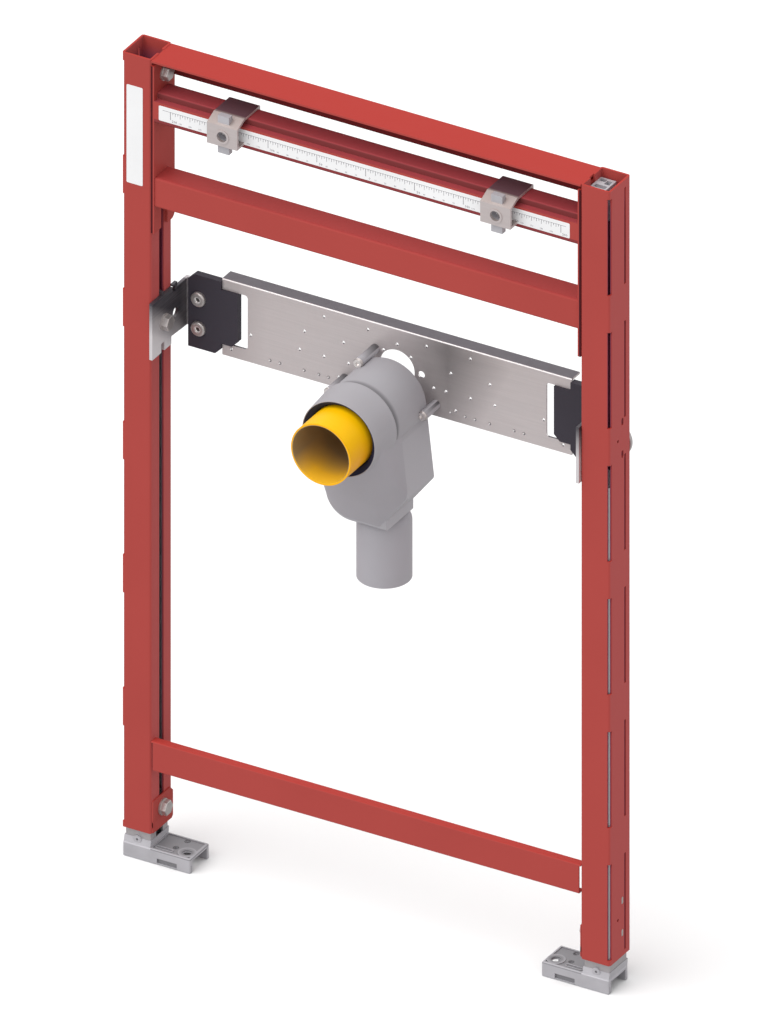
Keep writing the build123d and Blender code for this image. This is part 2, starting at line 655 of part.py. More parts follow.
# Foot castings, upside-down channels with a rib under the origin and a flared collar
SKIRT_FORE = FOOT_FORE - FOOT_SKIRT_T
SKIRT_AFT = FOOT_AFT - FOOT_SKIRT_T
SET_SCREW_Z = FOOT_H + SET_SCREW_RISE
with BuildPart() as left_foot_plate:
    with BuildSketch(Plane.XY):
        with BuildLine():
            Polyline(
                (-FOOT_OUT, -FOOT_FORE),
                (FOOT_IN, -FOOT_FORE),
                (FOOT_IN, FOOT_AFT),
                (-FOOT_OUT, FOOT_AFT),
                close=True,
            )
        make_face()
    extrude(amount=FOOT_H)
    fillet(left_foot_plate.edges().filter_by(Axis.X).group_by(Axis.Z)[-1], FOOT_EDGE_R)
    fillet(left_foot_plate.edges().filter_by(Axis.Z), FOOT_EDGE_R)
    for reach in (-FOOT_OUT, FOOT_IN):
        side = 1 if reach > 0 else -1
        with BuildSketch(Plane.YZ.offset(reach)):
            with BuildLine():
                Polyline(
                    (-SKIRT_FORE, 0),
                    (SKIRT_AFT, 0),
                    (SKIRT_AFT, FOOT_H - FOOT_TOP_T),
                    (-SKIRT_FORE, FOOT_H - FOOT_TOP_T),
                    close=True,
                )
            make_face()
        extrude(amount=-side * (abs(reach) - FOOT_RIB_T / 2), mode=Mode.SUBTRACT)
    with BuildSketch(Plane.XY.offset(FOOT_H - FOOT_EDGE_R)):
        with Locations((X_POST, (FOOT_AFT - FOOT_FORE) / 2)):
            Rectangle(CAVITY_W + COLLAR_T, FOOT_FORE + FOOT_AFT - COLLAR_T)
    with BuildSketch(Plane.XY.offset(FOOT_H + COLLAR_H)):
        with Locations((X_POST, 0)):
            Rectangle(CAVITY_W + COLLAR_T, LEG_D + COLLAR_T)
    loft()
    with BuildSketch(Plane.XZ.offset(LEG_D / 2)):
        with Locations((X_POST, SET_SCREW_Z)):
            Circle(SET_SCREW_BOSS_D / 2)
    extrude(amount=SET_SCREW_T)
    with BuildSketch(Plane.XZ.offset(LEG_D / 2)):
        with Locations((X_POST, SET_SCREW_Z)):
            Circle(SET_SCREW_D / 2)
    extrude(amount=2 * COLLAR_FLARE, mode=Mode.SUBTRACT)
    with BuildSketch(Plane.XY.offset(FOOT_H)):
        with Locations((X_POST, 0)):
            RectangleRounded(CAVITY_W, LEG_D, LEG_EDGE_R)
    extrude(amount=2 * COLLAR_H, mode=Mode.SUBTRACT)
    with BuildSketch(Plane.XY.offset(FOOT_H)):
        with Locations(((PANEL_IN + FOOT_IN - PANEL_RIM) / 2, (FOOT_AFT - FOOT_FORE) / 2)):
            Rectangle(FOOT_IN - PANEL_RIM - PANEL_IN, FOOT_FORE + FOOT_AFT - 2 * PANEL_RIM)
    extrude(amount=-PANEL_DEPTH, mode=Mode.SUBTRACT)
    panel = Plane.XY.offset(FOOT_H - PANEL_DEPTH)
    with BuildSketch(panel):
        with Locations((ANCHOR_X, ANCHOR_Y)):
            Circle(ANCHOR_RIM_D / 2)
        with Locations(TROUGH):
            SlotOverall(TROUGH_L, TROUGH_W)
            SlotOverall(TROUGH_L - TROUGH_RIM, TROUGH_W - TROUGH_RIM, mode=Mode.SUBTRACT)
    extrude(amount=ANCHOR_RIM_T)
    with BuildSketch(panel.offset(ANCHOR_RIM_T)):
        with Locations((ANCHOR_X, ANCHOR_Y)):
            Circle(ANCHOR_HOLE_D / 2)
        with Locations(LEVEL_HOLE):
            Circle(LEVEL_HOLE_D / 2)
        with Locations(POINT_HOLE):
            RegularPolygon(POINT_HOLE_R, 3)
    extrude(amount=-(FOOT_TOP_T + ANCHOR_RIM_T), mode=Mode.SUBTRACT)
    with BuildSketch(Plane.XZ.offset(FOOT_FORE)):
        with Locations((SCOOP_X, 0)):
            Rectangle(SCOOP_L, SCOOP_H, align=(Align.CENTER, Align.MIN))
    extrude(amount=-SCOOP_DEPTH, mode=Mode.SUBTRACT)
left_foot_plate.part.label = "left_foot_plate"
export_step(left_foot_plate.part, "parts/left_foot_plate.step")

with BuildPart() as right_foot_plate:
    mirror(left_foot_plate.part, about=MID_PLANE)
right_foot_plate.part.label = "right_foot_plate"
export_step(right_foot_plate.part, "parts/right_foot_plate.step")

# Legs, C sections that slide in the posts
with BuildPart() as left_foot_leg:
    with BuildSketch(Plane.XY.offset(FOOT_H)):
        with Locations((X_POST, 0)):
            RectangleRounded(CAVITY_W, LEG_D, LEG_EDGE_R)
            Rectangle(CAVITY_W - 2 * LEG_WALL, LEG_D - 2 * LEG_WALL, mode=Mode.SUBTRACT)
        with Locations((X_LIP, 0)):
            Rectangle(3 * LEG_WALL, LEG_SLOT_W, mode=Mode.SUBTRACT)
    extrude(amount=LEG_TOP - FOOT_H)
left_foot_leg.part.label = "left_foot_leg"
export_step(left_foot_leg.part, "parts/left_foot_leg.step")

with BuildPart() as right_foot_leg:
    mirror(left_foot_leg.part, about=MID_PLANE)
right_foot_leg.part.label = "right_foot_leg"
export_step(right_foot_leg.part, "parts/right_foot_leg.step")

# Plates that clamp the legs
with BuildPart() as left_foot_clamp_plate:
    with BuildSketch(Plane.YZ.offset(X_IN)):
        with Locations((Y_REAR, FOOT_PLATE_BASE)):
            Rectangle(POST_D - FOOT_PLATE_INSET, FOOT_PLATE_H, align=(Align.MAX, Align.MIN))
        with Locations((0, FOOT_BOLT_Z)):
            Circle(BOLT_HOLE_D / 2, mode=Mode.SUBTRACT)
    extrude(amount=FOOT_PLATE_T)
    clamp_corners = left_foot_clamp_plate.edges().filter_by(Axis.X).group_by(Axis.Y)[-1]
    chamfer(clamp_corners, FOOT_PLATE_CHAMFER)
left_foot_clamp_plate.part.label = "left_foot_clamp_plate"
export_step(left_foot_clamp_plate.part, "parts/left_foot_clamp_plate.step")

with BuildPart() as right_foot_clamp_plate:
    mirror(left_foot_clamp_plate.part, about=MID_PLANE)
right_foot_clamp_plate.part.label = "right_foot_clamp_plate"
export_step(right_foot_clamp_plate.part, "parts/right_foot_clamp_plate.step")

# Bolts of the foot clamp plates
with BuildPart() as left_foot_bolt:
    foot_shank = FOOT_PLATE_T + POST_WALL + LEG_WALL + FOOT_NUT_T + BOLT_SPARE
    add(hex_bolt(FOOT_BOLT_Z, FOOT_PLATE_T, foot_shank, X_LIP - LEG_WALL, FOOT_NUT_T))
left_foot_bolt.part.label = "left_foot_bolt"
export_step(left_foot_bolt.part, "parts/left_foot_bolt.step")

with BuildPart() as right_foot_bolt:
    mirror(left_foot_bolt.part, about=MID_PLANE)
right_foot_bolt.part.label = "right_foot_bolt"
export_step(right_foot_bolt.part, "parts/right_foot_bolt.step")

# Angle brackets that carry the black blocks
TRAP_PLATE_L = FRAME_W - TRAP_PLATE_SHORT
ARM_TOP = TRAP_PLATE_TOP - ARM_DROP
ARM_BASE = TRAP_PLATE_BASE + ARM_RISE
ARM_NECK_BASE = TRAP_PLATE_BASE + ARM_NECK_RISE
ARM_NECK_TOP = TRAP_PLATE_TOP - ARM_NECK_DROP
ARM_NUB_TOP = ARM_TOP + ARM_NUB_H
SOUND_FACE = from_front(SOUND_BLOCK_FRONT)
SOUND_REAR = SOUND_FACE + SOUND_BLOCK_T
X_SOUND_END = MID_X - TRAP_PLATE_L / 2
X_SOUND = X_SOUND_END - SOUND_BLOCK_L
SCREW_PLACES = [
    (X_SOUND_END - BLOCK_SCREW_X, TRAP_PLATE_BASE + rise) for rise in BLOCK_SCREW_RISES
]
with BuildPart() as left_trap_bracket:
    with BuildSketch(Plane.YZ.offset(X_IN)):
        with BuildLine():
            Polyline(
                (from_front(ARM_FRONT), ARM_BASE),
                (-BRACKET_NOTCH_W / 2, ARM_BASE),
                (-BRACKET_NOTCH_W / 2, ARM_BASE + ARM_CUT_H),
                (0, ARM_BASE + ARM_CUT_H),
                (0, ARM_BASE),
                (from_front(ARM_STEP), ARM_BASE),
                (from_front(ARM_STEP), ARM_BASE + ARM_STEP_H),
                (SOUND_REAR, ARM_NECK_BASE),
                (SOUND_REAR + PLATE_T, ARM_NECK_BASE),
                (SOUND_REAR + PLATE_T, ARM_NECK_TOP),
                (from_front(ARM_NOTCH[1] + ARM_NUB_L), ARM_NECK_TOP),
                (from_front(ARM_NOTCH[1] + ARM_NUB_L), ARM_NUB_TOP),
                (from_front(ARM_NOTCH[1] - ARM_HOOK_L), ARM_NUB_TOP),
                (from_front(ARM_NOTCH[1] - ARM_HOOK_L), ARM_NUB_TOP - ARM_HOOK_T),
                (from_front(ARM_NOTCH[1]), ARM_NUB_TOP - ARM_HOOK_T),
                (from_front(ARM_NOTCH[1]), ARM_TOP - ARM_NOTCH_H),
                (from_front(ARM_NOTCH[0]), ARM_TOP - ARM_NOTCH_H),
                (from_front(ARM_NOTCH[0]), ARM_TOP),
                (from_front(ARM_FRONT), ARM_TOP),
                close=True,
            )
        make_face()
        with Locations((0, TRAP_BOLT_Z)):
            Circle(BOLT_HOLE_D / 2, mode=Mode.SUBTRACT)
        with Locations((from_front(ARM_HOLE_Y), TRAP_BOLT_Z)):
            Circle(ARM_HOLE_D / 2, mode=Mode.SUBTRACT)
    extrude(amount=PLATE_T)
    with BuildSketch(Plane.YZ.offset(X_LIP)):
        with Locations((ARM_TAB_Y, ARM_TOP)):
            Rectangle(ARM_TAB_T, ARM_TAB_H)
    extrude(amount=POST_WALL + PLATE_T)
    with BuildSketch(Plane.XZ.offset(-SOUND_REAR)):
        with BuildLine():
            Polyline(
                (X_IN, ARM_NECK_BASE),
                (X_SOUND_END - ARM_TOE, ARM_NECK_BASE - ARM_TOE),
                (X_SOUND_END - ARM_TOE, ARM_NECK_TOP),
                (X_IN, ARM_NECK_TOP),
                close=True,
            )
        make_face()
        with Locations(SCREW_PLACES):
            Circle(BLOCK_SCREW_D / 2, mode=Mode.SUBTRACT)
    extrude(amount=-PLATE_T)
left_trap_bracket.part.label = "left_trap_bracket"
export_step(left_trap_bracket.part, "parts/left_trap_bracket.step")

with BuildPart() as right_trap_bracket:
    mirror(left_trap_bracket.part, about=MID_PLANE)
right_trap_bracket.part.label = "right_trap_bracket"
export_step(right_trap_bracket.part, "parts/right_trap_bracket.step")

# Bolts of the angle brackets
with BuildPart() as left_trap_bracket_bolt:
    add(hex_bolt(TRAP_BOLT_Z, PLATE_T, PLATE_T + POST_WALL + BOLT_SPARE, X_LIP, CAVITY_W))
left_trap_bracket_bolt.part.label = "left_trap_bracket_bolt"
export_step(left_trap_bracket_bolt.part, "parts/left_trap_bracket_bolt.step")

with BuildPart() as right_trap_bracket_bolt:
    mirror(left_trap_bracket_bolt.part, about=MID_PLANE)
right_trap_bracket_bolt.part.label = "right_trap_bracket_bolt"
export_step(right_trap_bracket_bolt.part, "parts/right_trap_bracket_bolt.step")

# Trap cross plate with its top flange and hole pattern
PLATE_FACE = from_front(TRAP_PLATE_FRONT)
PLATE_BACK = PLATE_FACE + TRAP_PLATE_T
NOTCH_TOP = TRAP_PLATE_TOP - END_NOTCH_DROP
NOTCH_BASE = TRAP_PLATE_BASE + END_NOTCH_RISE
NOTCH_H = NOTCH_TOP - NOTCH_BASE
NOTCH_MID_Z = (NOTCH_TOP + NOTCH_BASE) / 2
with BuildPart() as trap_plate:
    with BuildSketch(Plane.XZ.offset(-PLATE_FACE)):
        with Locations((MID_X, TRAP_PLATE_BASE)):
            Rectangle(TRAP_PLATE_L, TRAP_PLATE_H, align=(Align.CENTER, Align.MIN))
        for side in (-1, 1):
            with Locations((MID_X + side * TRAP_PLATE_L / 2, NOTCH_MID_Z)):
                RectangleRounded(2 * END_NOTCH_L, NOTCH_H, END_NOTCH_R, mode=Mode.SUBTRACT)
            for rise, distances in HOLE_ROWS:
                for distance in distances:
                    with Locations((MID_X + side * distance, TRAP_PLATE_BASE + rise)):
                        Circle(PLATE_HOLE_D / 2, mode=Mode.SUBTRACT)
            with Locations((MID_X + side * PLATE_EYE[0], TRAP_PLATE_BASE + PLATE_EYE[1])):
                Circle(PLATE_EYE_D / 2, mode=Mode.SUBTRACT)
        with Locations((MID_X, TRAP_PLATE_BASE + WINDOW_RISE)):
            SlotOverall(WINDOW_L, WINDOW_W, rotation=90, mode=Mode.SUBTRACT)
        for boss_x, boss_rise, boss_front in TRAP_BOSSES:
            with Locations((MID_X + boss_x, TRAP_Z + boss_rise)):
                Circle(TRAP_SCREW_D / 2, mode=Mode.SUBTRACT)
    extrude(amount=-TRAP_PLATE_T)
    with BuildSketch(Plane.XZ.offset(-PLATE_FACE)):
        with Locations((MID_X, TRAP_PLATE_TOP)):
            Rectangle(TRAP_PLATE_L, TRAP_PLATE_T, align=(Align.CENTER, Align.MAX))
    extrude(amount=-TRAP_FLANGE_D)
    plate_tops = trap_plate.edges().filter_by(Axis.X).group_by(Axis.Z)[-1]
    fillet(plate_tops.sort_by(Axis.Y)[0], TOP_EDGE_R)
trap_plate.part.label = "trap_plate"
export_step(trap_plate.part, "parts/trap_plate.step")

# Black blocks with a tongue in the plate's end notch and a hold behind the plate
SOUND_TOP = TRAP_PLATE_TOP - SOUND_TOP_DROP
SOUND_BASE = TRAP_PLATE_BASE + SOUND_BASE_RISE
X_TONGUE = X_SOUND_END + TONGUE_L
with BuildPart() as left_sound_block:
    with BuildSketch(Plane.XZ.offset(-SOUND_FACE)):
        with BuildLine():
            Polyline(
                (X_SOUND, SOUND_BASE),
                (X_SOUND_END - SOUND_CHAMFER, SOUND_BASE),
                (X_SOUND_END, SOUND_BASE + SOUND_CHAMFER),
                (X_SOUND_END, NOTCH_BASE),
                (X_TONGUE - SOUND_CHAMFER, NOTCH_BASE),
                (X_TONGUE, NOTCH_BASE + SOUND_CHAMFER),
                (X_TONGUE, NOTCH_TOP),
                (X_SOUND_END, NOTCH_TOP),
                (X_SOUND_END, SOUND_TOP),
                (X_SOUND + SOUND_CHAMFER, SOUND_TOP),
                (X_SOUND, SOUND_TOP - SOUND_CHAMFER),
                close=True,
            )
        make_face()
        with Locations(SCREW_PLACES):
            Circle(BLOCK_SCREW_D / 2, mode=Mode.SUBTRACT)
    extrude(amount=-SOUND_BLOCK_T)
    with BuildSketch(Plane.XZ.offset(-PLATE_BACK)):
        with Locations((X_SOUND_END, NOTCH_MID_Z)):
            Rectangle(
                TONGUE_L - TONGUE_SHORT,
                NOTCH_H + 2 * SOUND_HOLD,
                align=(Align.MIN, Align.CENTER),
            )
    extrude(amount=-(SOUND_REAR - PLATE_BACK))
left_sound_block.part.label = "left_sound_block"
export_step(left_sound_block.part, "parts/left_sound_block.step")

with BuildPart() as right_sound_block:
    mirror(left_sound_block.part, about=MID_PLANE)
right_sound_block.part.label = "right_sound_block"
export_step(right_sound_block.part, "parts/right_sound_block.step")

# Round-head screws of the black blocks
with BuildPart() as left_block_screws:
    with BuildSketch(Plane.XZ.offset(-SOUND_FACE)):
        with Locations(SCREW_PLACES):
            Circle(BLOCK_SCREW_HEAD_D / 2)
    extrude(amount=BLOCK_SCREW_HEAD_T)
    with BuildSketch(Plane.XZ.offset(-SOUND_FACE)):
        with Locations(SCREW_PLACES):
            Circle(BLOCK_SCREW_D / 2)
    extrude(amount=-(SOUND_BLOCK_T + PLATE_T + BLOCK_SCREW_SPARE))
    head_rims = left_block_screws.edges().filter_by(GeomType.CIRCLE).group_by(Axis.Y)[0]
    fillet(head_rims, BLOCK_SCREW_HEAD_R)
    with BuildSketch(Plane.XZ.offset(BLOCK_SCREW_HEAD_T - SOUND_FACE)):
        with Locations(SCREW_PLACES):
            RegularPolygon(BLOCK_SCREW_DRIVE_R, 6)
    extrude(amount=-BLOCK_SCREW_DRIVE_DEPTH, mode=Mode.SUBTRACT)
left_block_screws.part.label = "left_block_screws"
export_step(left_block_screws.part, "parts/left_block_screws.step")

with BuildPart() as right_block_screws:
    mirror(left_block_screws.part, about=MID_PLANE)
right_block_screws.part.label = "right_block_screws"
export_step(right_block_screws.part, "parts/right_block_screws.step")

# Trap body with its socket, barrel, chin and three screw bosses
SOCKET_FACE = from_front(SOCKET_FRONT)
SOCKET_STEP = from_front(SOCKET_REAR)
GROOVE_END = SOCKET_STEP + SOCKET_GROOVE_W
BODY_FACE = from_front(TRAP_FRONT)
BODY_DEPTH = TRAP_REAR - TRAP_FRONT
BORE_END = SOCKET_FACE + SOCKET_BORE_DEPTH
PLUG_FACE = from_front(PLUG_FRONT)
X_BODY = MID_X - TRAP_LEFT
X_BODY_CORNER = X_BODY + TRAP_CORNER_R
CHIN_Z = TRAP_SOLE_Z + TRAP_CHIN_D / 2 + TRAP_CHIN_GAP
BOSS_PLACES = [
    (MID_X + boss_x, TRAP_Z + rise, from_front(front)) for boss_x, rise, front in TRAP_BOSSES
]
with BuildPart() as trap_body:
    with BuildSketch(Plane.XZ.offset(-BODY_FACE)):
        with BuildLine():
            left_side = Line((X_BODY, TRAP_Z), (X_BODY, TRAP_SOLE_Z + TRAP_CORNER_R))
            corner = RadiusArc(left_side @ 1, (X_BODY_CORNER, TRAP_SOLE_Z), -TRAP_CORNER_R)
            Polyline(
                corner @ 1,
                (MID_X + TRAP_FOOT_RIGHT, TRAP_SOLE_Z),
                (MID_X + TRAP_FOOT_RIGHT, TRAP_SOLE_Z + TRAP_FOOT_H),
                (MID_X + TRAP_LOBE[0], TRAP_SOLE_Z + TRAP_LOBE[1]),
                (MID_X + TRAP_HIP[0], TRAP_Z - TRAP_HIP[1]),
                (MID_X + TRAP_SHOULDER, TRAP_Z),
                left_side @ 0,
            )
        make_face()
    extrude(amount=-BODY_DEPTH)
    lobe_edge = trap_body.edges().filter_by(Axis.Y).sort_by(Axis.X)[-1]
    fillet(lobe_edge, TRAP_LOBE_R)
    body_edges = trap_body.faces().group_by(Axis.Y)[0].edges()
    fillet(body_edges.filter_by(lambda e: e.center().Z < TRAP_Z - TRAP_HIP[1]), TRAP_EDGE_R)
    with BuildSketch(Plane.XZ.offset(-(SOCKET_FACE + TRAP_CHIN_BACK))):
        with Locations((MID_X, TRAP_Z)):
            Circle(TRAP_CHIN_D / 2)
    with BuildSketch(Plane.XZ.offset(-(BODY_FACE + TRAP_EDGE_R))):
        with Locations((MID_X - TRAP_CHIN_X, CHIN_Z)):
            Circle(TRAP_CHIN_D / 2)
    loft()
    with BuildSketch(Plane.XZ.offset(-(SOCKET_FACE + TRAP_CHEEK_BACK))):
        with Locations((MID_X, TRAP_Z)):
            Circle(TRAP_CHEEK_D / 2)
    with BuildSketch(Plane.XZ.offset(-(BODY_FACE + 2 * TRAP_EDGE_R))):
        with Locations((MID_X + TRAP_CHEEK_X, TRAP_Z - TRAP_CHEEK_Z)):
            Ellipse(*TRAP_CHEEK)
    loft()
    with BuildPart(mode=Mode.PRIVATE) as socket:
        with BuildSketch(Plane.XZ.offset(-SOCKET_FACE)):
            with Locations((MID_X, TRAP_Z)):
                Circle(SOCKET_D / 2)
        extrude(amount=-(SOCKET_STEP - SOCKET_FACE))
        fillet(socket.edges().group_by(Axis.Y)[-1], SOCKET_EDGE_R)
    add(socket.part)
    with BuildSketch(Plane.XZ.offset(-SOCKET_STEP)):
        with Locations((MID_X, TRAP_Z)):
            Circle(SOCKET_GROOVE_D / 2)
    extrude(amount=-SOCKET_GROOVE_W)
    with BuildSketch(Plane.XZ.offset(-GROOVE_END)):
        with Locations((MID_X, TRAP_Z)):
            Circle(BARREL_D / 2)
    extrude(amount=-(from_front(BARREL_REAR) - GROOVE_END))
    for boss_x, boss_z, boss_y in BOSS_PLACES:
        with BuildSketch(Plane.XZ.offset(-boss_y)):
            with Locations((boss_x, boss_z)):
                Circle(TRAP_BOSS_D / 2)
        extrude(amount=-(PLATE_FACE - boss_y))
    for boss_x, boss_z, boss_y in BOSS_PLACES:
        with BuildSketch(Plane.XZ.offset(-from_front(TRAP_WEB_FRONT))):
            with BuildLine():
                if boss_z > TRAP_Z:
                    Polyline(
                        (boss_x - TRAP_WEB_H / 2, boss_z),
                        (boss_x + TRAP_WEB_H / 2, boss_z),
                        (boss_x + 2 * TRAP_WEB_H, TRAP_Z),
                        (boss_x, TRAP_Z),
                        close=True,
                    )
                else:
                    Polyline(
                        (boss_x, boss_z - TRAP_WEB_H / 2),
                        (MID_X, boss_z - TRAP_WEB_H / 2),
                        (MID_X, boss_z + TRAP_WEB_H / 2),
                        (boss_x, boss_z + TRAP_WEB_H / 2),
                        close=True,
                    )
            make_face()
        extrude(amount=-(TRAP_REAR - TRAP_WEB_FRONT))
    with BuildSketch(Plane.XZ.offset(-SOCKET_FACE)):
        with Locations((MID_X, TRAP_Z)):
            Circle(SOCKET_BORE_D / 2)
    extrude(amount=-SOCKET_BORE_DEPTH, mode=Mode.SUBTRACT)
    with BuildSketch(Plane.XZ.offset(-BORE_END)):
        with Locations((MID_X, TRAP_Z)):
            Circle(PLUG_D / 2 + PLUG_ROOM)
    extrude(amount=-(from_front(BARREL_REAR) - TRAP_WALL - BORE_END), mode=Mode.SUBTRACT)
    with BuildSketch(Plane.XZ.offset(-(BODY_FACE + TRAP_WALL))):
        with Locations((MID_X - TRAP_ROOM_X, TRAP_SOLE_Z + TRAP_ROOM_RISE)):
            Rectangle(TRAP_ROOM_W, TRAP_ROOM_H, align=(Align.CENTER, Align.MIN))
    extrude(amount=-(BODY_DEPTH - 2 * TRAP_WALL), mode=Mode.SUBTRACT)
    with BuildSketch(Plane.XY.offset(TRAP_SOLE_Z)):
        with Locations((MID_X, from_front(OUTLET_Y - OUTLET_NECK_SHIFT))):
            Circle(OUTLET_NECK_D / 2)
    extrude(amount=OUTLET_NECK_DEPTH, mode=Mode.SUBTRACT)
    for boss_x, boss_z, boss_y in BOSS_PLACES:
        with BuildSketch(Plane.XZ.offset(-boss_y)):
            with Locations((boss_x, boss_z)):
                Circle(TRAP_SCREW_D / 2)
        extrude(amount=-(PLATE_FACE - boss_y), mode=Mode.SUBTRACT)
        with BuildSketch(Plane.XZ.offset(-boss_y)):
            with Locations((boss_x, boss_z)):
                Circle(TRAP_HEAD_D / 2 + TRAP_HEAD_ROOM)
        extrude(amount=TRAP_HEAD_T + TRAP_HEAD_ROOM, mode=Mode.SUBTRACT)
trap_body.part.label = "trap_body"
export_step(trap_body.part, "parts/trap_body.step")

# Outlet pipe with a rounded shoulder under the body
OUTLET_BASE = TRAP_SOLE_Z - OUTLET_L
with BuildPart() as outlet_pipe:
    with BuildSketch(Plane.XY.offset(OUTLET_BASE)):
        with Locations((MID_X, from_front(OUTLET_Y))):
            Circle(OUTLET_D / 2)
    extrude(amount=OUTLET_L)
    pipe_top = outlet_pipe.edges().filter_by(GeomType.CIRCLE).group_by(Axis.Z)[-1]
    fillet(pipe_top, OUTLET_SHOULDER_R)
    with BuildSketch(Plane.XY.offset(OUTLET_BASE)):
        with Locations((MID_X, from_front(OUTLET_Y))):
            Circle(OUTLET_BORE_D / 2)
    extrude(amount=OUTLET_L - OUTLET_SHOULDER_R, mode=Mode.SUBTRACT)
    with BuildSketch(Plane.XY.offset(TRAP_SOLE_Z)):
        with Locations((MID_X, from_front(OUTLET_Y - OUTLET_NECK_SHIFT))):
            Circle(OUTLET_NECK_D / 2)
    extrude(amount=-OUTLET_NECK_DEPTH, mode=Mode.SUBTRACT)
outlet_pipe.part.label = "outlet_pipe"
export_step(outlet_pipe.part, "parts/outlet_pipe.step")

# Building-phase plug, a cup open to the front
with BuildPart() as protection_plug:
    with BuildSketch(Plane.XZ.offset(-PLUG_FACE)):
        with Locations((MID_X, TRAP_Z)):
            Circle(PLUG_D / 2)
    extrude(amount=-PLUG_L)
    with BuildSketch(Plane.XZ.offset(-PLUG_FACE)):
        with Locations((MID_X, TRAP_Z)):
            Circle(PLUG_D / 2 - PLUG_WALL)
    extrude(amount=-(PLUG_L - PLUG_WALL), mode=Mode.SUBTRACT)
protection_plug.part.label = "protection_plug"
export_step(protection_plug.part, "parts/protection_plug.step")

# Lip seal between the plug and the socket, it stands out of the socket
with BuildPart() as seal_ring:
    with BuildSketch(Plane.XZ.offset(SEAL_REACH - SOCKET_FACE)):
        with Locations((MID_X, TRAP_Z)):
            Circle(SOCKET_BORE_D / 2)
            Circle(PLUG_D / 2, mode=Mode.SUBTRACT)
    extrude(amount=-SEAL_L)
seal_ring.part.label = "seal_ring"
export_step(seal_ring.part, "parts/seal_ring.step")

# Screws through the bosses of the trap body
with BuildPart() as trap_screws:
    for boss_x, boss_z, boss_y in BOSS_PLACES:
        with BuildSketch(Plane.XZ.offset(-boss_y)):
            with Locations((boss_x, boss_z)):
                Circle(TRAP_HEAD_D / 2)
        extrude(amount=TRAP_HEAD_T)
        with BuildSketch(Plane.XZ.offset(-boss_y)):
            with Locations((boss_x, boss_z)):
                Circle(TRAP_SCREW_D / 2)
        extrude(amount=-(PLATE_BACK - boss_y + TRAP_SCREW_SPARE))
        with BuildSketch(Plane.XZ.offset(TRAP_HEAD_T - boss_y)):
            with Locations((boss_x, boss_z)):
                RegularPolygon(TRAP_DRIVE_R, 6)
        extrude(amount=-TRAP_DRIVE_DEPTH, mode=Mode.SUBTRACT)
trap_screws.part.label = "trap_screws"
export_step(trap_screws.part, "parts/trap_screws.step")

# Stop plates behind the posts, flush with their outer sides
with BuildPart() as left_stop_plate:
    with BuildSketch(Plane.XZ.offset(-Y_REAR)):
        with BuildLine():
            stop_side = ThreePointArc(
                (X_OUT + STOP_BULGE, TRAP_BOLT_Z - STOP_H / 2),
                (X_OUT, TRAP_BOLT_Z),
                (X_OUT + STOP_BULGE, TRAP_BOLT_Z + STOP_H / 2),
            )
            Polyline(
                stop_side @ 1,
                (X_OUT + STOP_W, TRAP_BOLT_Z + STOP_H / 2),
                (X_OUT + STOP_W, TRAP_BOLT_Z - STOP_H / 2),
                stop_side @ 0,
            )
        make_face()
    extrude(amount=-STOP_T)
left_stop_plate.part.label = "left_stop_plate"
export_step(left_stop_plate.part, "parts/left_stop_plate.step")

with BuildPart() as right_stop_plate:
    mirror(left_stop_plate.part, about=MID_PLANE)
right_stop_plate.part.label = "right_stop_plate"
export_step(right_stop_plate.part, "parts/right_stop_plate.step")
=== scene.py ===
import math

import bmesh
import bpy
from mathutils import Matrix, Vector


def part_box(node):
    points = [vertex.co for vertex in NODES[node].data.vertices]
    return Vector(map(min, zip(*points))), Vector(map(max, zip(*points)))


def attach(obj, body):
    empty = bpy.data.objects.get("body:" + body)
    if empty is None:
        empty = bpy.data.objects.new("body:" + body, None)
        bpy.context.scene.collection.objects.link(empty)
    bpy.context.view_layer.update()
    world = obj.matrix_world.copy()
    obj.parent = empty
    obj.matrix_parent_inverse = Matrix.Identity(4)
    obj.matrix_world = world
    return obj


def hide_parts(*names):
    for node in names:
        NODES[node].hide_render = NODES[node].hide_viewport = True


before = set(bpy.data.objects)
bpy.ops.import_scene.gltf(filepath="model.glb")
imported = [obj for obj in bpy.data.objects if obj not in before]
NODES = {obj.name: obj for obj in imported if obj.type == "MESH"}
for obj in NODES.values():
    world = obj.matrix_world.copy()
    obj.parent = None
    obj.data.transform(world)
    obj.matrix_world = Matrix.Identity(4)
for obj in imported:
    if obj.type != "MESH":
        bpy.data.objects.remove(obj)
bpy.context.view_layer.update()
SCENE = bpy.context.scene
SCENE.view_settings.view_transform = "Standard"

# Places on the frame, in metres, in the part's own frame
MID_X = 0.213
POST_FACE = -0.0185
POST_OFF = 0.2350
POST_HALF_CAVITY = 0.0140
POST_HALF_DEPTH = 0.0175

# Films on the basin rail and on the left post
RULER_LOW = 0.7631
RULER_HIGH = 0.7782
LABEL_LEFT = -0.0320
LABEL_RIGHT = -0.0155
LABEL_LOW = 0.6903
LABEL_HIGH = 0.7906
SKIN = 0.0002

# Trap, its socket, seal and plug, and its bosses as X and Z from the axis and depth
TRAP_AXIS_Z = 0.5212
PLUG_FACE = -0.0985
PLUG_R = 0.0305
PLUG_INSIDE_R = 0.0291
SOCKET_R = 0.0400
SOCKET_STEP = -0.0315
MOUTH_DEPTH = -0.0665
MOUTH_R = 0.0375
SEAL_R = 0.0367
BOSSES = ((-0.0220, 0.0351, 0.0075), (0.0400, -0.0044, 0.0135), (-0.0530, -0.0044, 0.0085))

# Holes of a foot, as distance from the middle of the frame and depth
ANCHOR_HOLE = (0.1890, -0.0080)
ANCHOR_HOLE_R = 0.0050
ANCHOR_RIM_R = 0.0084
SMALL_FOOT_HOLES = ((0.1990, 0.0100), (0.2025, -0.0046))
SMALL_HOLE_R = 0.0027

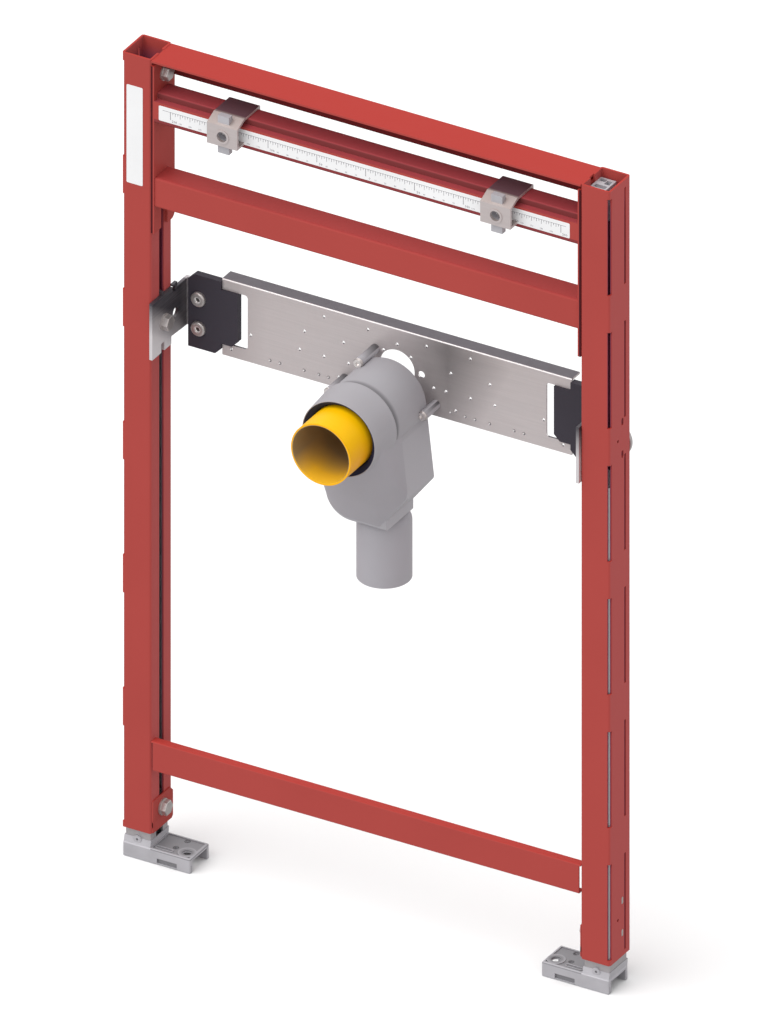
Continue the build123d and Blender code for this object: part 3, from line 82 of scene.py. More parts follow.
# Middle of the trap's painted shadow on the cross plate, and where the trap brackets turn from
# painted shade to painted light
PLATE_SHADE_X = 0.052
PLATE_SHADE_Z = 0.572
BRACKET_PALE_Z = 0.539
BRACKET_FRONT = -0.0167

# Half width of a soft border between two colours
BLUR = 0.0001

# Shares by which a face looks up or aside, each as the start and the end of a border
LOOKS_UP = (0.5, 0.9)
PAINT_LOOKS_UP = (0.3, 0.9)
CAST_LOOKS_UP = (0.6, 0.95)
LOOKS_ASIDE = (0.7, 0.95)
FOLD_START = (0.15, 0.3)
FOLD_END = (0.95, 0.8)

# Borders of painted shade on the red steel, in metres of depth, height or distance from the
# middle
POST_INSIDE_TOP = (0.815, 0.800)
SEAM_ACROSS = (0.2182, 0.2185)
SEAM_DEPTH = (-0.0176, -0.0180)
TOP_RAIL_HOLLOW = (0.012, 0.0145)
BASIN_RAIL_HOLLOW = (0.7804, 0.7809)
RAIL_LIP = (0.7632, 0.7628)
RAIL_LINE = (0.7604, 0.7598)

# Fineness of the zinc's crystals, and borders on the galvanised steel: of painted light and
# shade, and of the plate's darker left end
SPANGLE = 160.0
PLATE_SHADE = (0.066, 0.003)
PLATE_LEFT = (0.080, 0.050)
BRACKET_RUN = (-0.001, 0.031)
BRACKET_REAR = (0.027, 0.036)
BRACKET_FOLD = (0.0385, 0.0402)
CLAMP_BACK = (-0.0178, -0.0152)

# Borders of painted shade on the feet, round the floor of the top recess and in the side
# recess
FOOT_FLOOR_HIGH = (0.0139, 0.0136)
FOOT_FLOOR_LOW = (0.0125, 0.0130)
FOOT_FLOOR_SIDE = (0.2210, 0.2205)
RECESS_FRONT = (-0.0172, -0.0169)
RECESS_BACK = (-0.0160, -0.0164)
RECESS_TOP = (0.0072, 0.0068)

# Borders of a painted highlight and painted shade in the head of a block screw, round its
# drive's rim and floor
DRIVE_RIM = (0.0036, 0.0031)
DRIVE_FLOOR = (0.0024, 0.0020)

# Borders of painted light and shade on the trap as distance from the axis or depth, and in the
# plug's cup
RING_INSIDE = (0.0355, 0.0360)
RING_OUTSIDE = (0.0410, 0.0405)
LINE_START = (0.0002, 0.0006)
LINE_END = (0.0085, 0.0045)
BOSS_INSIDE = (0.0415, 0.0420)
BOSS_DEPTH = (0.012, 0.034)
CUP_LOW = (-0.009, -0.025)
CUP_NEAR = (0.050, 0.016)


def linear(red, green, blue):
    """Linear colour from 8-bit display values."""
    out = []
    for value in (red, green, blue):
        share = value / 255.0
        if share <= 0.04045:
            out.append(share / 12.92)
        else:
            out.append(((share + 0.055) / 1.055) ** 2.4)
    return tuple(out) + (1.0,)


def scaled(colour, factor):
    """Colour made lighter or darker by a factor."""
    return tuple(min(1.0, c * factor) for c in colour[:3]) + (1.0,)


class Maker:
    """Small helper that builds one node material."""

    def __init__(self, name):
        self.material = bpy.data.materials.new(name)
        self.material.use_nodes = True
        self.tree = self.material.node_tree
        self.shader = self.tree.nodes["Principled BSDF"]
        self.coords = self.tree.nodes.new("ShaderNodeTexCoord").outputs["Object"]

    def node(self, kind, **inputs):
        made = self.tree.nodes.new(kind)
        for key, value in inputs.items():
            made.inputs[key].default_value = value
        return made

    def link(self, source, target):
        self.tree.links.new(source, target)

    def stretched(self, scale):
        mapping = self.tree.nodes.new("ShaderNodeMapping")
        mapping.inputs["Scale"].default_value = scale
        self.link(self.coords, mapping.inputs["Vector"])
        return mapping.outputs["Vector"]

    def noise(self, scale, detail=3.0, stretch=None, rough=0.5):
        made = self.node("ShaderNodeTexNoise", Scale=scale, Detail=detail, Roughness=rough)
        source = self.stretched(stretch) if stretch else self.coords
        self.link(source, made.inputs["Vector"])
        return made.outputs["Fac"]

    def cells(self, scale):
        made = self.node("ShaderNodeTexVoronoi", Scale=scale)
        self.link(self.coords, made.inputs["Vector"])
        return made.outputs["Color"]

    def ramp(self, factor, low, high, start=0.3, end=0.7):
        made = self.tree.nodes.new("ShaderNodeValToRGB")
        made.color_ramp.elements[0].position = start
        made.color_ramp.elements[0].color = low
        made.color_ramp.elements[1].position = end
        made.color_ramp.elements[1].color = high
        self.link(factor, made.inputs["Fac"])
        return made.outputs["Color"]

    def spread(self, factor, low, high):
        made = self.tree.nodes.new("ShaderNodeMapRange")
        made.inputs["To Min"].default_value = low
        made.inputs["To Max"].default_value = high
        self.link(factor, made.inputs["Value"])
        return made.outputs["Result"]

    def math(self, operation, first, second):
        """Math node, each input a socket or a plain number."""
        made = self.tree.nodes.new("ShaderNodeMath")
        made.operation = operation
        for place, value in enumerate((first, second)):
            if isinstance(value, (int, float)):
                made.inputs[place].default_value = value
            else:
                self.link(value, made.inputs[place])
        return made.outputs[0]

    def between(self, value, start, end, low=0.0, high=1.0):
        """Clamped run from low to high while value goes from start to end."""
        made = self.tree.nodes.new("ShaderNodeMapRange")
        made.inputs["From Min"].default_value = start
        made.inputs["From Max"].default_value = end
        made.inputs["To Min"].default_value = low
        made.inputs["To Max"].default_value = high
        self.link(value, made.inputs["Value"])
        return made.outputs["Result"]

    def place(self, axis):
        """One object coordinate, 0 to 2 for X to Z."""
        made = self.tree.nodes.new("ShaderNodeSeparateXYZ")
        self.link(self.coords, made.inputs[0])
        return made.outputs[axis]

    def facing(self, axis):
        """Share by which a face looks along an axis."""
        made = self.tree.nodes.new("ShaderNodeSeparateXYZ")
        normal = self.tree.nodes.new("ShaderNodeTexCoord").outputs["Normal"]
        self.link(normal, made.inputs[0])
        return made.outputs[axis]

    def upward(self):
        """Share by which a face looks up."""
        return self.facing(2)

    def apart(self, axis, middle):
        """Distance from a plane across one axis."""
        return self.math("ABSOLUTE", self.math("SUBTRACT", self.place(axis), middle), 0.0)

    def reach(self, first, second):
        """Length of the line with two given legs."""
        one = self.math("MULTIPLY", first, first)
        two = self.math("MULTIPLY", second, second)
        return self.math("SQRT", self.math("ADD", one, two), 0.0)

    def from_axis(self):
        """Distance from the axis of the trap's socket."""
        across = self.math("SUBTRACT", self.place(0), MID_X)
        height = self.math("SUBTRACT", self.place(2), TRAP_AXIS_Z)
        return self.reach(across, height)

    def both(self, *shares):
        """Product of shares."""
        total = shares[0]
        for share in shares[1:]:
            total = self.math("MULTIPLY", total, share)
        return total

    def mix(self, factor, first, second):
        """Colour mix, each colour a socket or a plain colour."""
        made = self.tree.nodes.new("ShaderNodeMix")
        made.data_type = "RGBA"
        self.link(factor, made.inputs[0])
        for place, value in ((6, first), (7, second)):
            if isinstance(value, tuple):
                made.inputs[place].default_value = value
            else:
                self.link(value, made.inputs[place])
        return made.outputs[2]

    def bump(self, height, strength, distance, below=None):
        made = self.node("ShaderNodeBump", Strength=strength, Distance=distance)
        self.link(height, made.inputs["Height"])
        if below is not None:
            self.link(below, made.inputs["Normal"])
        return made.outputs["Normal"]

    def finish(self, colour, roughness, normal, metallic=0.0, specular=0.5):
        self.link(colour, self.shader.inputs["Base Color"])
        self.link(roughness, self.shader.inputs["Roughness"])
        self.link(normal, self.shader.inputs["Normal"])
        self.shader.inputs["Metallic"].default_value = metallic
        self.shader.inputs["Specular IOR Level"].default_value = specular
        return self.material


def post_shade(make, colour):
    """Painted shade inside the post and painted light on its sides."""
    # pale is painted light for the sides, dark is painted shade inside the post
    pale = linear(184, 86, 84)
    dark = linear(150, 72, 92)
    colour = make.mix(make.between(make.facing(0), *LOOKS_ASIDE), colour, pale)
    across = make.math("ABSOLUTE", make.math("SUBTRACT", make.apart(0, MID_X), POST_OFF), 0.0)
    inner = make.both(
        make.between(across, POST_HALF_CAVITY + BLUR, POST_HALF_CAVITY - BLUR),
        make.between(make.apart(1, 0.0), POST_HALF_DEPTH + BLUR, POST_HALF_DEPTH - BLUR),
        make.between(make.place(2), *POST_INSIDE_TOP),
    )
    return make.mix(inner, colour, dark)


def bracket_shade(make, colour):
    """Painted shade in the gap along the post, on the front edge of a rail bracket."""
    seam = make.both(
        make.between(make.apart(0, MID_X), *SEAM_ACROSS),
        make.between(make.place(1), *SEAM_DEPTH),
    )
    return make.mix(seam, colour, linear(76, 30, 36))


def rail_shade(make, colour):
    """Painted shade on the lip under the ruler, darker still below it."""
    colour = make.mix(make.between(make.place(2), *RAIL_LIP), colour, linear(140, 62, 64))
    return make.mix(make.between(make.place(2), *RAIL_LINE), colour, linear(104, 50, 53))


def red_paint(name, top, hollow=None, shade=None):
    """Red powder coat, with a painted top colour where it looks up and painted shade in a
    hollow.

    A hollow is given as an axis, a border along that axis and the colour of its painted shade.
    """
    make = Maker(name)
    base = linear(177, 75, 70)
    drift = make.noise(9.0, 2.0)
    colour = make.ramp(drift, scaled(base, 0.97), scaled(base, 1.03))
    if hollow:
        axis, border, dark = hollow
        colour = make.mix(make.between(make.place(axis), *border), colour, dark)
    if shade:
        colour = shade(make, colour)
    colour = make.mix(make.between(make.upward(), *PAINT_LOOKS_UP), colour, top)
    roughness = make.spread(make.noise(60.0), 0.44, 0.54)
    grain = make.noise(1400.0, 2.0)
    normal = make.bump(grain, 0.12, 0.0001)
    return make.finish(colour, roughness, normal, specular=0.05)


def rolled(make, axis):
    """Streaks from rolling, long along one axis."""
    stretch = [40.0, 40.0, 40.0]
    stretch[axis] = 1.2
    return make.noise(18.0, 4.0, tuple(stretch))


def zinc(make, colour, streaks, spangle, metallic=0.5, spangled=True):
    """Roughness and relief that all zinc-coated steel shares."""
    below = make.bump(spangle, 0.03, 0.0002) if spangled else None
    normal = make.bump(streaks, 0.08, 0.0001, below)
    return make.finish(colour, make.spread(spangle, 0.38, 0.52), normal, metallic=metallic)


def galvanised(name, base, streak_axis, top_shade=0.62):
    """Zinc-coated steel with rolling streaks along an axis, with painted shade where it looks
    up.
    """
    make = Maker(name)
    spangle = make.cells(SPANGLE)
    streaks = rolled(make, streak_axis)
    clean = make.ramp(streaks, scaled(base, 0.97), scaled(base, 1.03))
    shaded = make.ramp(streaks, scaled(base, 0.95 * top_shade), scaled(base, 1.03 * top_shade))
    colour = make.mix(make.between(make.upward(), *LOOKS_UP), clean, shaded)
    return zinc(make, colour, streaks, spangle)


def plate_steel():
    """Cross plate with painted shade on its flange, a painted highlight on the fold and a
    painted shadow round the trap.
    """
    make = Maker("galvanised_cross_plate")
    base = linear(212, 204, 204)
    spangle = make.cells(SPANGLE)
    streaks = rolled(make, 0)
    clean = make.ramp(streaks, scaled(base, 0.97), scaled(base, 1.03))
    # Painted shadow of the trap on the plate
    across = make.apart(0, MID_X + PLATE_SHADE_X)
    height = make.apart(2, PLATE_SHADE_Z)
    away = make.math("ADD", across, make.math("MULTIPLY", height, 0.5))
    near = make.between(away, *PLATE_SHADE, 0.0, 0.88)
    clean = make.mix(near, clean, scaled(base, 0.32))
    # Darker towards the left end
    left = make.between(make.place(0), *PLATE_LEFT, 0.0, 0.8)
    clean = make.mix(left, clean, scaled(base, 0.85))
    # Painted shade on the flange, which looks up
    colour = make.mix(make.between(make.upward(), *LOOKS_UP), clean, linear(110, 105, 111))
    # Painted highlight along the fold
    fold = make.both(
        make.between(make.upward(), *FOLD_START),
        make.between(make.upward(), *FOLD_END),
    )
    colour = make.mix(fold, colour, (0.95, 0.92, 0.92, 1.0))
    return zinc(make, colour, streaks, spangle)


def bracket_steel():
    """Angle bracket, painted light at its lower front, painted shade and reflection above,
    with a painted highlight on the fold.
    """
    make = Maker("galvanised_bracket")
    streaks = rolled(make, 1)
    # run goes from painted light low in front to painted shade and reflection high at the back
    rise = make.math("SUBTRACT", make.place(2), BRACKET_PALE_Z)
    back = make.math("MULTIPLY", make.math("SUBTRACT", make.place(1), BRACKET_FRONT), 0.6)
    run = make.between(make.math("ADD", rise, back), *BRACKET_RUN)
    colour = make.mix(run, linear(226, 221, 223), linear(66, 62, 70))
    # Painted shade at the rear
    rear = make.between(make.place(1), *BRACKET_REAR)
    colour = make.mix(rear, colour, linear(112, 107, 113))
    fold = make.between(make.place(1), *BRACKET_FOLD)
    colour = make.mix(fold, colour, linear(205, 200, 203))
    spots = make.between(streaks, 0.3, 0.7, 0.0, 0.08)
    colour = make.mix(spots, colour, (0.9, 0.9, 0.9, 1.0))
    return zinc(make, colour, streaks, make.cells(SPANGLE), spangled=False)


def clamp_steel():
    """Basin clamp, pale in front, its top in painted shade with a painted reflection of the
    red above it.
    """
    make = Maker("galvanised_clamp")
    base = linear(202, 192, 191)
    streaks = rolled(make, 0)
    pale = make.ramp(streaks, scaled(base, 0.97), scaled(base, 1.03))
    back = make.between(make.place(1), *CLAMP_BACK)
    # Painted shade and painted reflection of the red rail on the clamp's top
    top_shade_and_reflection = make.mix(back, linear(176, 164, 160), linear(124, 92, 101))
    colour = make.mix(make.between(make.upward(), *LOOKS_UP), pale, top_shade_and_reflection)
    return zinc(make, colour, streaks, make.cells(SPANGLE), 0.4, spangled=False)


def hole_reach(make, off_x, depth):
    """Distance from the axis of an upright hole that both feet have."""
    across = make.math("SUBTRACT", make.apart(0, MID_X), off_x)
    return make.reach(across, make.math("SUBTRACT", make.place(1), depth))


def foot_shade(make, colour):
    """Painted shade on the floor of the top recess and of the side recess, and painted shade
    rings round the holes.
    """
    base = linear(190, 188, 193)
    recess_floor_shade = make.both(
        make.between(make.place(2), *FOOT_FLOOR_HIGH),
        make.between(make.place(2), *FOOT_FLOOR_LOW),
        make.between(make.apart(0, MID_X), *FOOT_FLOOR_SIDE),
    )
    colour = make.mix(recess_floor_shade, colour, scaled(base, 0.50))
    flat = make.between(make.upward(), *LOOKS_UP)
    # Painted shade rings round the holes
    rim = make.between(hole_reach(make, *ANCHOR_HOLE), ANCHOR_RIM_R, ANCHOR_HOLE_R)
    colour = make.mix(make.both(rim, flat), colour, scaled(base, 0.42))
    for hole in SMALL_FOOT_HOLES:
        rim = make.between(hole_reach(make, *hole), SMALL_HOLE_R + 0.0004, SMALL_HOLE_R)
        colour = make.mix(make.both(rim, flat), colour, scaled(base, 0.22))
    # Painted shade in the side recess
    side = make.both(
        make.between(make.place(1), *RECESS_FRONT),
        make.between(make.place(1), *RECESS_BACK),
        make.between(make.place(2), *RECESS_TOP),
    )
    return make.mix(side, colour, scaled(base, 0.55))


def casting(name, top_shade, shade=None):
    """Dull zinc casting, with painted shade where it looks up."""
    make = Maker(name)
    base = linear(190, 188, 193)
    clean = make.ramp(make.noise(45.0, 4.0), scaled(base, 0.9), scaled(base, 1.05))
    facing = make.between(make.upward(), *CAST_LOOKS_UP)
    colour = make.mix(facing, clean, scaled(base, top_shade))
    if shade:
        colour = shade(make, colour)
    roughness = make.spread(make.noise(80.0), 0.5, 0.65)
    normal = make.bump(make.noise(700.0, 3.0), 0.25, 0.0002)
    return make.finish(colour, roughness, normal, metallic=0.3)


def block_screw_shade(make, colour):
    """Painted shade in the drive and a painted highlight on its rim, in the head of each block
    screw.
    """
    off = (BLOCK_SCREW_LOW.x + BLOCK_SCREW_HIGH.x) / 2 - MID_X
    head_r = (BLOCK_SCREW_HIGH.x - BLOCK_SCREW_LOW.x) / 2
    middle = (BLOCK_SCREW_LOW.z + BLOCK_SCREW_HIGH.z) / 2
    half = (BLOCK_SCREW_HIGH.z - BLOCK_SCREW_LOW.z) / 2 - head_r
    across = make.math("SUBTRACT", make.apart(0, MID_X), abs(off))
    along = make.math("SUBTRACT", make.apart(2, middle), half)
    reach = make.reach(across, along)
    colour = make.mix(make.between(reach, *DRIVE_RIM), colour, (0.95, 0.93, 0.92, 1.0))
    return make.mix(make.between(reach, *DRIVE_FLOOR), colour, linear(84, 80, 80))


def bolt_steel(name, base, roughness_range, metallic, shade=None):
    """Zinc-plated steel of small fasteners."""
    make = Maker(name)
    colour = make.ramp(make.noise(120.0, 4.0), scaled(base, 0.82), scaled(base, 1.08))
    if shade:
        colour = shade(make, colour)
    roughness = make.spread(make.noise(150.0), *roughness_range)
    normal = make.bump(make.noise(900.0, 2.0), 0.15, 0.0001)
    return make.finish(colour, roughness, normal, metallic=metallic)


def trap_shade(make, colour):
    """Painted shade along the seam behind the socket, on top and near the plate, and painted
    light on the socket's side.
    """
    base = linear(174, 172, 177)
    reach = make.from_axis()
    ring = make.both(make.between(reach, *RING_INSIDE), make.between(reach, *RING_OUTSIDE))
    depth = make.math("SUBTRACT", make.place(1), SOCKET_STEP)
    # Painted shade line behind the socket's step
    line = make.both(
        ring,
        make.between(depth, *LINE_START),
        make.between(depth, *LINE_END),
    )
    top = make.both(ring, make.between(make.upward(), 0.2, 0.9, 0.0, 0.6))
    colour = make.mix(top, colour, scaled(base, 0.80))
    # Painted shade on the bosses near the plate
    boss = make.both(
        make.between(reach, *BOSS_INSIDE),
        make.between(make.place(1), *BOSS_DEPTH, 0.0, 0.9),
        make.between(make.place(2), TRAP_AXIS_Z - 0.012, TRAP_AXIS_Z - 0.010),
    )
    colour = make.mix(boss, colour, scaled(base, 0.18))
    # Painted light on the socket's side
    side = make.both(
        make.between(make.facing(0), 0.8, 0.95),
        make.between(reach, SOCKET_R - 0.0005, SOCKET_R + 0.0005),
    )
    colour = make.mix(side, colour, scaled(base, 1.12))
    return make.mix(make.math("MULTIPLY", line, 0.75), colour, scaled(base, 0.35))


def plastic(name, base, roughness_range, grain_scale, grain, specular=0.4, shade=None):
    """Moulded plastic, rubber or film with a fine grain."""
    make = Maker(name)
    colour = make.ramp(make.noise(14.0, 3.0), scaled(base, 0.96), scaled(base, 1.04))
    if shade:
        colour = shade(make, colour)
    roughness = make.spread(make.noise(55.0), *roughness_range)
    normal = make.bump(make.noise(grain_scale, 2.0), grain, 0.0001)
    return make.finish(colour, roughness, normal, specular=specular)


def plug_plastic():
    """Glossy yellow, more orange below as painted shade, with painted shade inside the cup but
    painted light on its lower wall.
    """
    make = Maker("yellow_plastic")
    base = linear(255, 195, 4)
    outside = make.ramp(make.noise(14.0, 3.0), scaled(base, 0.97), scaled(base, 1.03))
    # More orange below, as painted shade
    below = make.between(make.upward(), 0.60, -0.20)
    outside = make.mix(below, outside, (1.0, 0.465, 0.006, 1.0))
    inside = make.between(make.from_axis(), PLUG_INSIDE_R + 0.0002, PLUG_INSIDE_R)
    height = make.math("SUBTRACT", make.place(2), TRAP_AXIS_Z)
    depth = make.math("SUBTRACT", make.place(1), PLUG_FACE)
    # Painted light on the cup's lower wall near the mouth, painted shade deeper inside
    lit = make.both(make.between(height, *CUP_LOW), make.between(depth, *CUP_NEAR))
    cup = make.mix(lit, (0.40, 0.27, 0.13, 1.0), (1.0, 0.54, 0.03, 1.0))
    colour = make.mix(inside, outside, cup)
    roughness = make.spread(make.noise(55.0), 0.34, 0.44)
    normal = make.bump(make.noise(1000.0, 2.0), 0.06, 0.0001)
    return make.finish(colour, roughness, normal, specular=0.15)


# The block screws' box gives the places of their drives
BLOCK_SCREW_LOW, BLOCK_SCREW_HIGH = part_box("left_block_screws")

# Finishes
# Each top colour is painted light and shade for faces that look up; each hollow colour is
# painted shade
RED_PAINTED_TOP = linear(173, 60, 54)
RED = red_paint("red_powder_coat", RED_PAINTED_TOP)
POST_RED = red_paint("red_powder_coat_post", RED_PAINTED_TOP, shade=post_shade)
# Rail bracket red with painted shade in the gap along the post
SEAM_SHADED_RED = red_paint("red_powder_coat_bracket", RED_PAINTED_TOP, shade=bracket_shade)
# Painted shade towards the rear of the top rail
TOP_HOLLOW = (1, TOP_RAIL_HOLLOW, linear(120, 44, 46))
TOP_RED = red_paint("red_powder_coat_top_rail", RED_PAINTED_TOP, TOP_HOLLOW)
# The tube's top colour is painted shade from the rails above it
TUBE_RED = red_paint("red_powder_coat_tube", linear(162, 61, 59))
# Painted shade on the basin rail's top, under the top rail
RAIL_HOLLOW = (2, BASIN_RAIL_HOLLOW, linear(127, 60, 61))
RAIL_RED = red_paint("red_powder_coat_rail", linear(166, 70, 75), RAIL_HOLLOW, rail_shade)
GALVANISED = galvanised("galvanised_steel", linear(188, 181, 181), 0)
PLATE_STEEL = plate_steel()
BRACKET_STEEL = bracket_steel()
CLAMP_STEEL = clamp_steel()
LEG_STEEL = galvanised("galvanised_leg", linear(182, 178, 180), 2)
CAST = casting("zinc_casting", 0.98)
FOOT_CAST = casting("zinc_foot_casting", 0.74, foot_shade)
BOLT_BASE = linear(196, 190, 188)
BOLT_ROUGH = (0.28, 0.42)
BOLT = bolt_steel("zinc_plated_steel", BOLT_BASE, BOLT_ROUGH, 0.75)
BLOCK_SCREW = bolt_steel(
    "zinc_plated_block_screw",
    BOLT_BASE,
    BOLT_ROUGH,
    0.75,
    block_screw_shade,
)
BRIGHT = bolt_steel("bright_screw_steel", linear(246, 240, 238), (0.14, 0.24), 0.80)
BLACK = plastic("black_plastic", linear(61, 57, 66), (0.55, 0.7), 900.0, 0.3, 0.25)
GREY_ROUGH = (0.42, 0.52)
GREY = plastic("grey_plastic", linear(176, 173, 179), GREY_ROUGH, 1100.0, 0.08, 0.3)
TRAP_GREY = plastic(
    "grey_plastic_trap",
    linear(175, 173, 178),
    GREY_ROUGH,
    1100.0,
    0.08,
    0.3,
    trap_shade,
)
YELLOW = plug_plastic()
RUBBER = plastic("black_rubber", linear(42, 50, 84), (0.6, 0.75), 700.0, 0.2, 0.2)
WHITE = plastic("white_film", linear(246, 246, 247), (0.4, 0.5), 300.0, 0.05)
INK = plastic("black_ink", linear(118, 114, 122), (0.5, 0.6), 300.0, 0.05)

FINISH = {
    "left_post": POST_RED,
    "right_post": POST_RED,
    "top_rail": TOP_RED,
    "basin_rail": RAIL_RED,
    "cross_tube": TUBE_RED,
    "bottom_rail": RED,
    "left_rail_bracket": SEAM_SHADED_RED,
    "right_rail_bracket": SEAM_SHADED_RED,
    "left_foot_clamp_plate": RED,
    "right_foot_clamp_plate": RED,
    "left_rail_bolt": BOLT,
    "right_rail_bolt": BOLT,
    "left_foot_bolt": BOLT,
    "right_foot_bolt": BOLT,
    "left_trap_bracket_bolt": BOLT,
    "right_trap_bracket_bolt": BOLT,
    "left_block_screws": BLOCK_SCREW,
    "right_block_screws": BLOCK_SCREW,
    "trap_screws": BRIGHT,
    "left_basin_clamp": CLAMP_STEEL,
    "right_basin_clamp": CLAMP_STEEL,
    "left_trap_bracket": BRACKET_STEEL,
    "right_trap_bracket": BRACKET_STEEL,
    "left_stop_plate": GALVANISED,
    "right_stop_plate": GALVANISED,
    "trap_plate": PLATE_STEEL,
    "left_foot_leg": LEG_STEEL,
    "right_foot_leg": LEG_STEEL,
    "left_nut_block": CAST,
    "right_nut_block": CAST,
    "left_clamp_nut": CAST,
    "right_clamp_nut": CAST,
    "left_foot_plate": FOOT_CAST,
    "right_foot_plate": FOOT_CAST,
    "left_sound_block": BLACK,
    "right_sound_block": BLACK,
    "trap_body": TRAP_GREY,
    "outlet_pipe": GREY,
    "protection_plug": YELLOW,
    "seal_ring": RUBBER,
}

for name, piece in NODES.items():
    finish = FINISH.get(name, RED)
    piece.data.materials.clear()
    piece.data.materials.append(finish)


def new_piece(name, shape, finish):
    """Object made from a bmesh, carried by the frame."""
    data = bpy.data.meshes.new(name)
    shape.to_mesh(data)
    shape.free()
    data.materials.append(finish)
    made = bpy.data.objects.new(name, data)
    SCENE.collection.objects.link(made)
    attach(made, "root")
    return made


def add_block(shape, low, high):
    """Box between two corners, added to a bmesh."""
    size = Vector(high) - Vector(low)
    middle = (Vector(high) + Vector(low)) / 2
    place = Matrix.Translation(middle) @ Matrix.Diagonal(size.to_4d())
    place[3][3] = 1.0
    bmesh.ops.create_cube(shape, size=1.0, matrix=place)


def rounded_strip(name, left, right, low, high, face, finish):
    """Thin film with rounded corners on a face that looks to the front."""
    shape = bmesh.new()
    radius = 0.0012
    parts = 4
    outline = []
    for corner_x, corner_z, start in (
        (right - radius, high - radius, 0),
        (left + radius, high - radius, 90),
        (left + radius, low + radius, 180),
        (right - radius, low + radius, 270),
    ):
        for step in range(parts + 1):
            angle = math.radians(start + step * 90 / parts)
            x = corner_x + radius * math.cos(angle)
            z = corner_z + radius * math.sin(angle)
            outline.append(shape.verts.new((x, face, z)))
    sheet = shape.faces.new(outline)
    risen = bmesh.ops.extrude_face_region(shape, geom=[sheet])
    moved = [v for v in risen["geom"] if isinstance(v, bmesh.types.BMVert)]
    bmesh.ops.translate(shape, verts=moved, vec=(0, -SKIN, 0))
    bmesh.ops.recalc_face_normals(shape, faces=shape.faces)
    return new_piece(name, shape, finish)


RAIL_LOW, RAIL_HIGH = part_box("basin_rail")
RULER_LEFT = RAIL_LOW.x + 0.005
RULER_RIGHT = RAIL_HIGH.x - 0.008
rounded_strip("ruler_strip", RULER_LEFT, RULER_RIGHT, RULER_LOW, RULER_HIGH, POST_FACE, WHITE)
rounded_strip("blank_label", LABEL_LEFT, LABEL_RIGHT, LABEL_LOW, LABEL_HIGH, POST_FACE, WHITE)

# Ruler marks: a base line, and ticks that are longer at each 5, 10 and 50 mm
INK_FACE = POST_FACE - SKIN
INK_SKIN = 0.00005
BASE_LINE_HIGH = RULER_HIGH - 0.0038
BASE_LINE_LOW = RULER_HIGH - 0.0041
BASE_LINE_INSET = 0.004
TICK_TOP = RULER_HIGH - 0.0039
TICK_PITCH = 0.0025
TICKS_EACH_SIDE = 80
marks = bmesh.new()
add_block(
    marks,
    (RULER_LEFT + BASE_LINE_INSET, INK_FACE - INK_SKIN, BASE_LINE_LOW),
    (RULER_RIGHT - BASE_LINE_INSET, INK_FACE, BASE_LINE_HIGH),
)
for step in range(-TICKS_EACH_SIDE, TICKS_EACH_SIDE + 1):
    tick_x = MID_X + step * TICK_PITCH
    half = 0.00018
    if step % 20 == 0:
        foot = RULER_LOW + 0.0035
        half = 0.00024
    elif step % 4 == 0:
        foot = RULER_HIGH - 0.0082
    elif step % 2 == 0:
        foot = RULER_HIGH - 0.0070
    else:
        foot = RULER_HIGH - 0.0060
    add_block(
        marks,
        (tick_x - half, INK_FACE - INK_SKIN, foot),
        (tick_x + half, INK_FACE, TICK_TOP),
    )
new_piece("ruler_ticks", marks, INK)


def ruler_number(text, x, z, size):
    """Small printed number on the ruler, as a mesh."""
    curve = bpy.data.curves.new("ruler_number", "FONT")
    curve.body = text
    curve.size = size
    curve.align_x = "CENTER"
    curve.extrude = 0.00002
    curve.resolution_u = 1
    made = bpy.data.objects.new("ruler_number", curve)
    SCENE.collection.objects.link(made)
    made.rotation_euler = (math.radians(90), 0, 0)
    made.location = (x, INK_FACE - 0.00003, z)
    bpy.context.view_layer.update()
    evaluated = made.evaluated_get(bpy.context.evaluated_depsgraph_get())
    data = bpy.data.meshes.new_from_object(evaluated)
    data.transform(made.matrix_world)
    bpy.data.objects.remove(made)
    return data


# A number at each 10 mm from the middle, larger and beside its long tick at each 50 mm
NUMBER_PITCH = 0.01
NUMBER_Z = RULER_LOW + 0.0012
digits = bmesh.new()
for step in range(-20, 21):
    big = step % 5 == 0
    size = 0.0036 if big else 0.0023
    shift = 0.004 if big else 0.0
    number_x = MID_X + step * NUMBER_PITCH + shift
    data = ruler_number(str(abs(step) * 10), number_x, NUMBER_Z, size)
    digits.from_mesh(data)
    bpy.data.meshes.remove(data)
new_piece("ruler_numbers", digits, INK)


def smooth(made, angle):
    """Smooth shading with creases sharper than an angle kept."""
    for face in made.data.polygons:
        face.use_smooth = True
    made.data.set_sharp_from_angle(angle=math.radians(angle))


def lathe(name, profile, finish, sides=128, middle=(MID_X, TRAP_AXIS_Z)):
    """Closed ring round an axis to the rear, from points of depth and radius."""
    shape = bmesh.new()
    rows = []
    for side in range(sides):
        angle = 2 * math.pi * side / sides
        row = []
        for depth, radius in profile:
            x = middle[0] + radius * math.cos(angle)
            z = middle[1] + radius * math.sin(angle)
            row.append(shape.verts.new((x, depth, z)))
        rows.append(row)
    count = len(profile)
    for side in range(sides):
        here = rows[side]
        there = rows[(side + 1) % sides]
        for place in range(count):
            after = (place + 1) % count
            shape.faces.new((here[place], here[after], there[after], there[place]))
    bmesh.ops.recalc_face_normals(shape, faces=shape.faces)
    made = new_piece(name, shape, finish)
    smooth(made, 40)
    return made


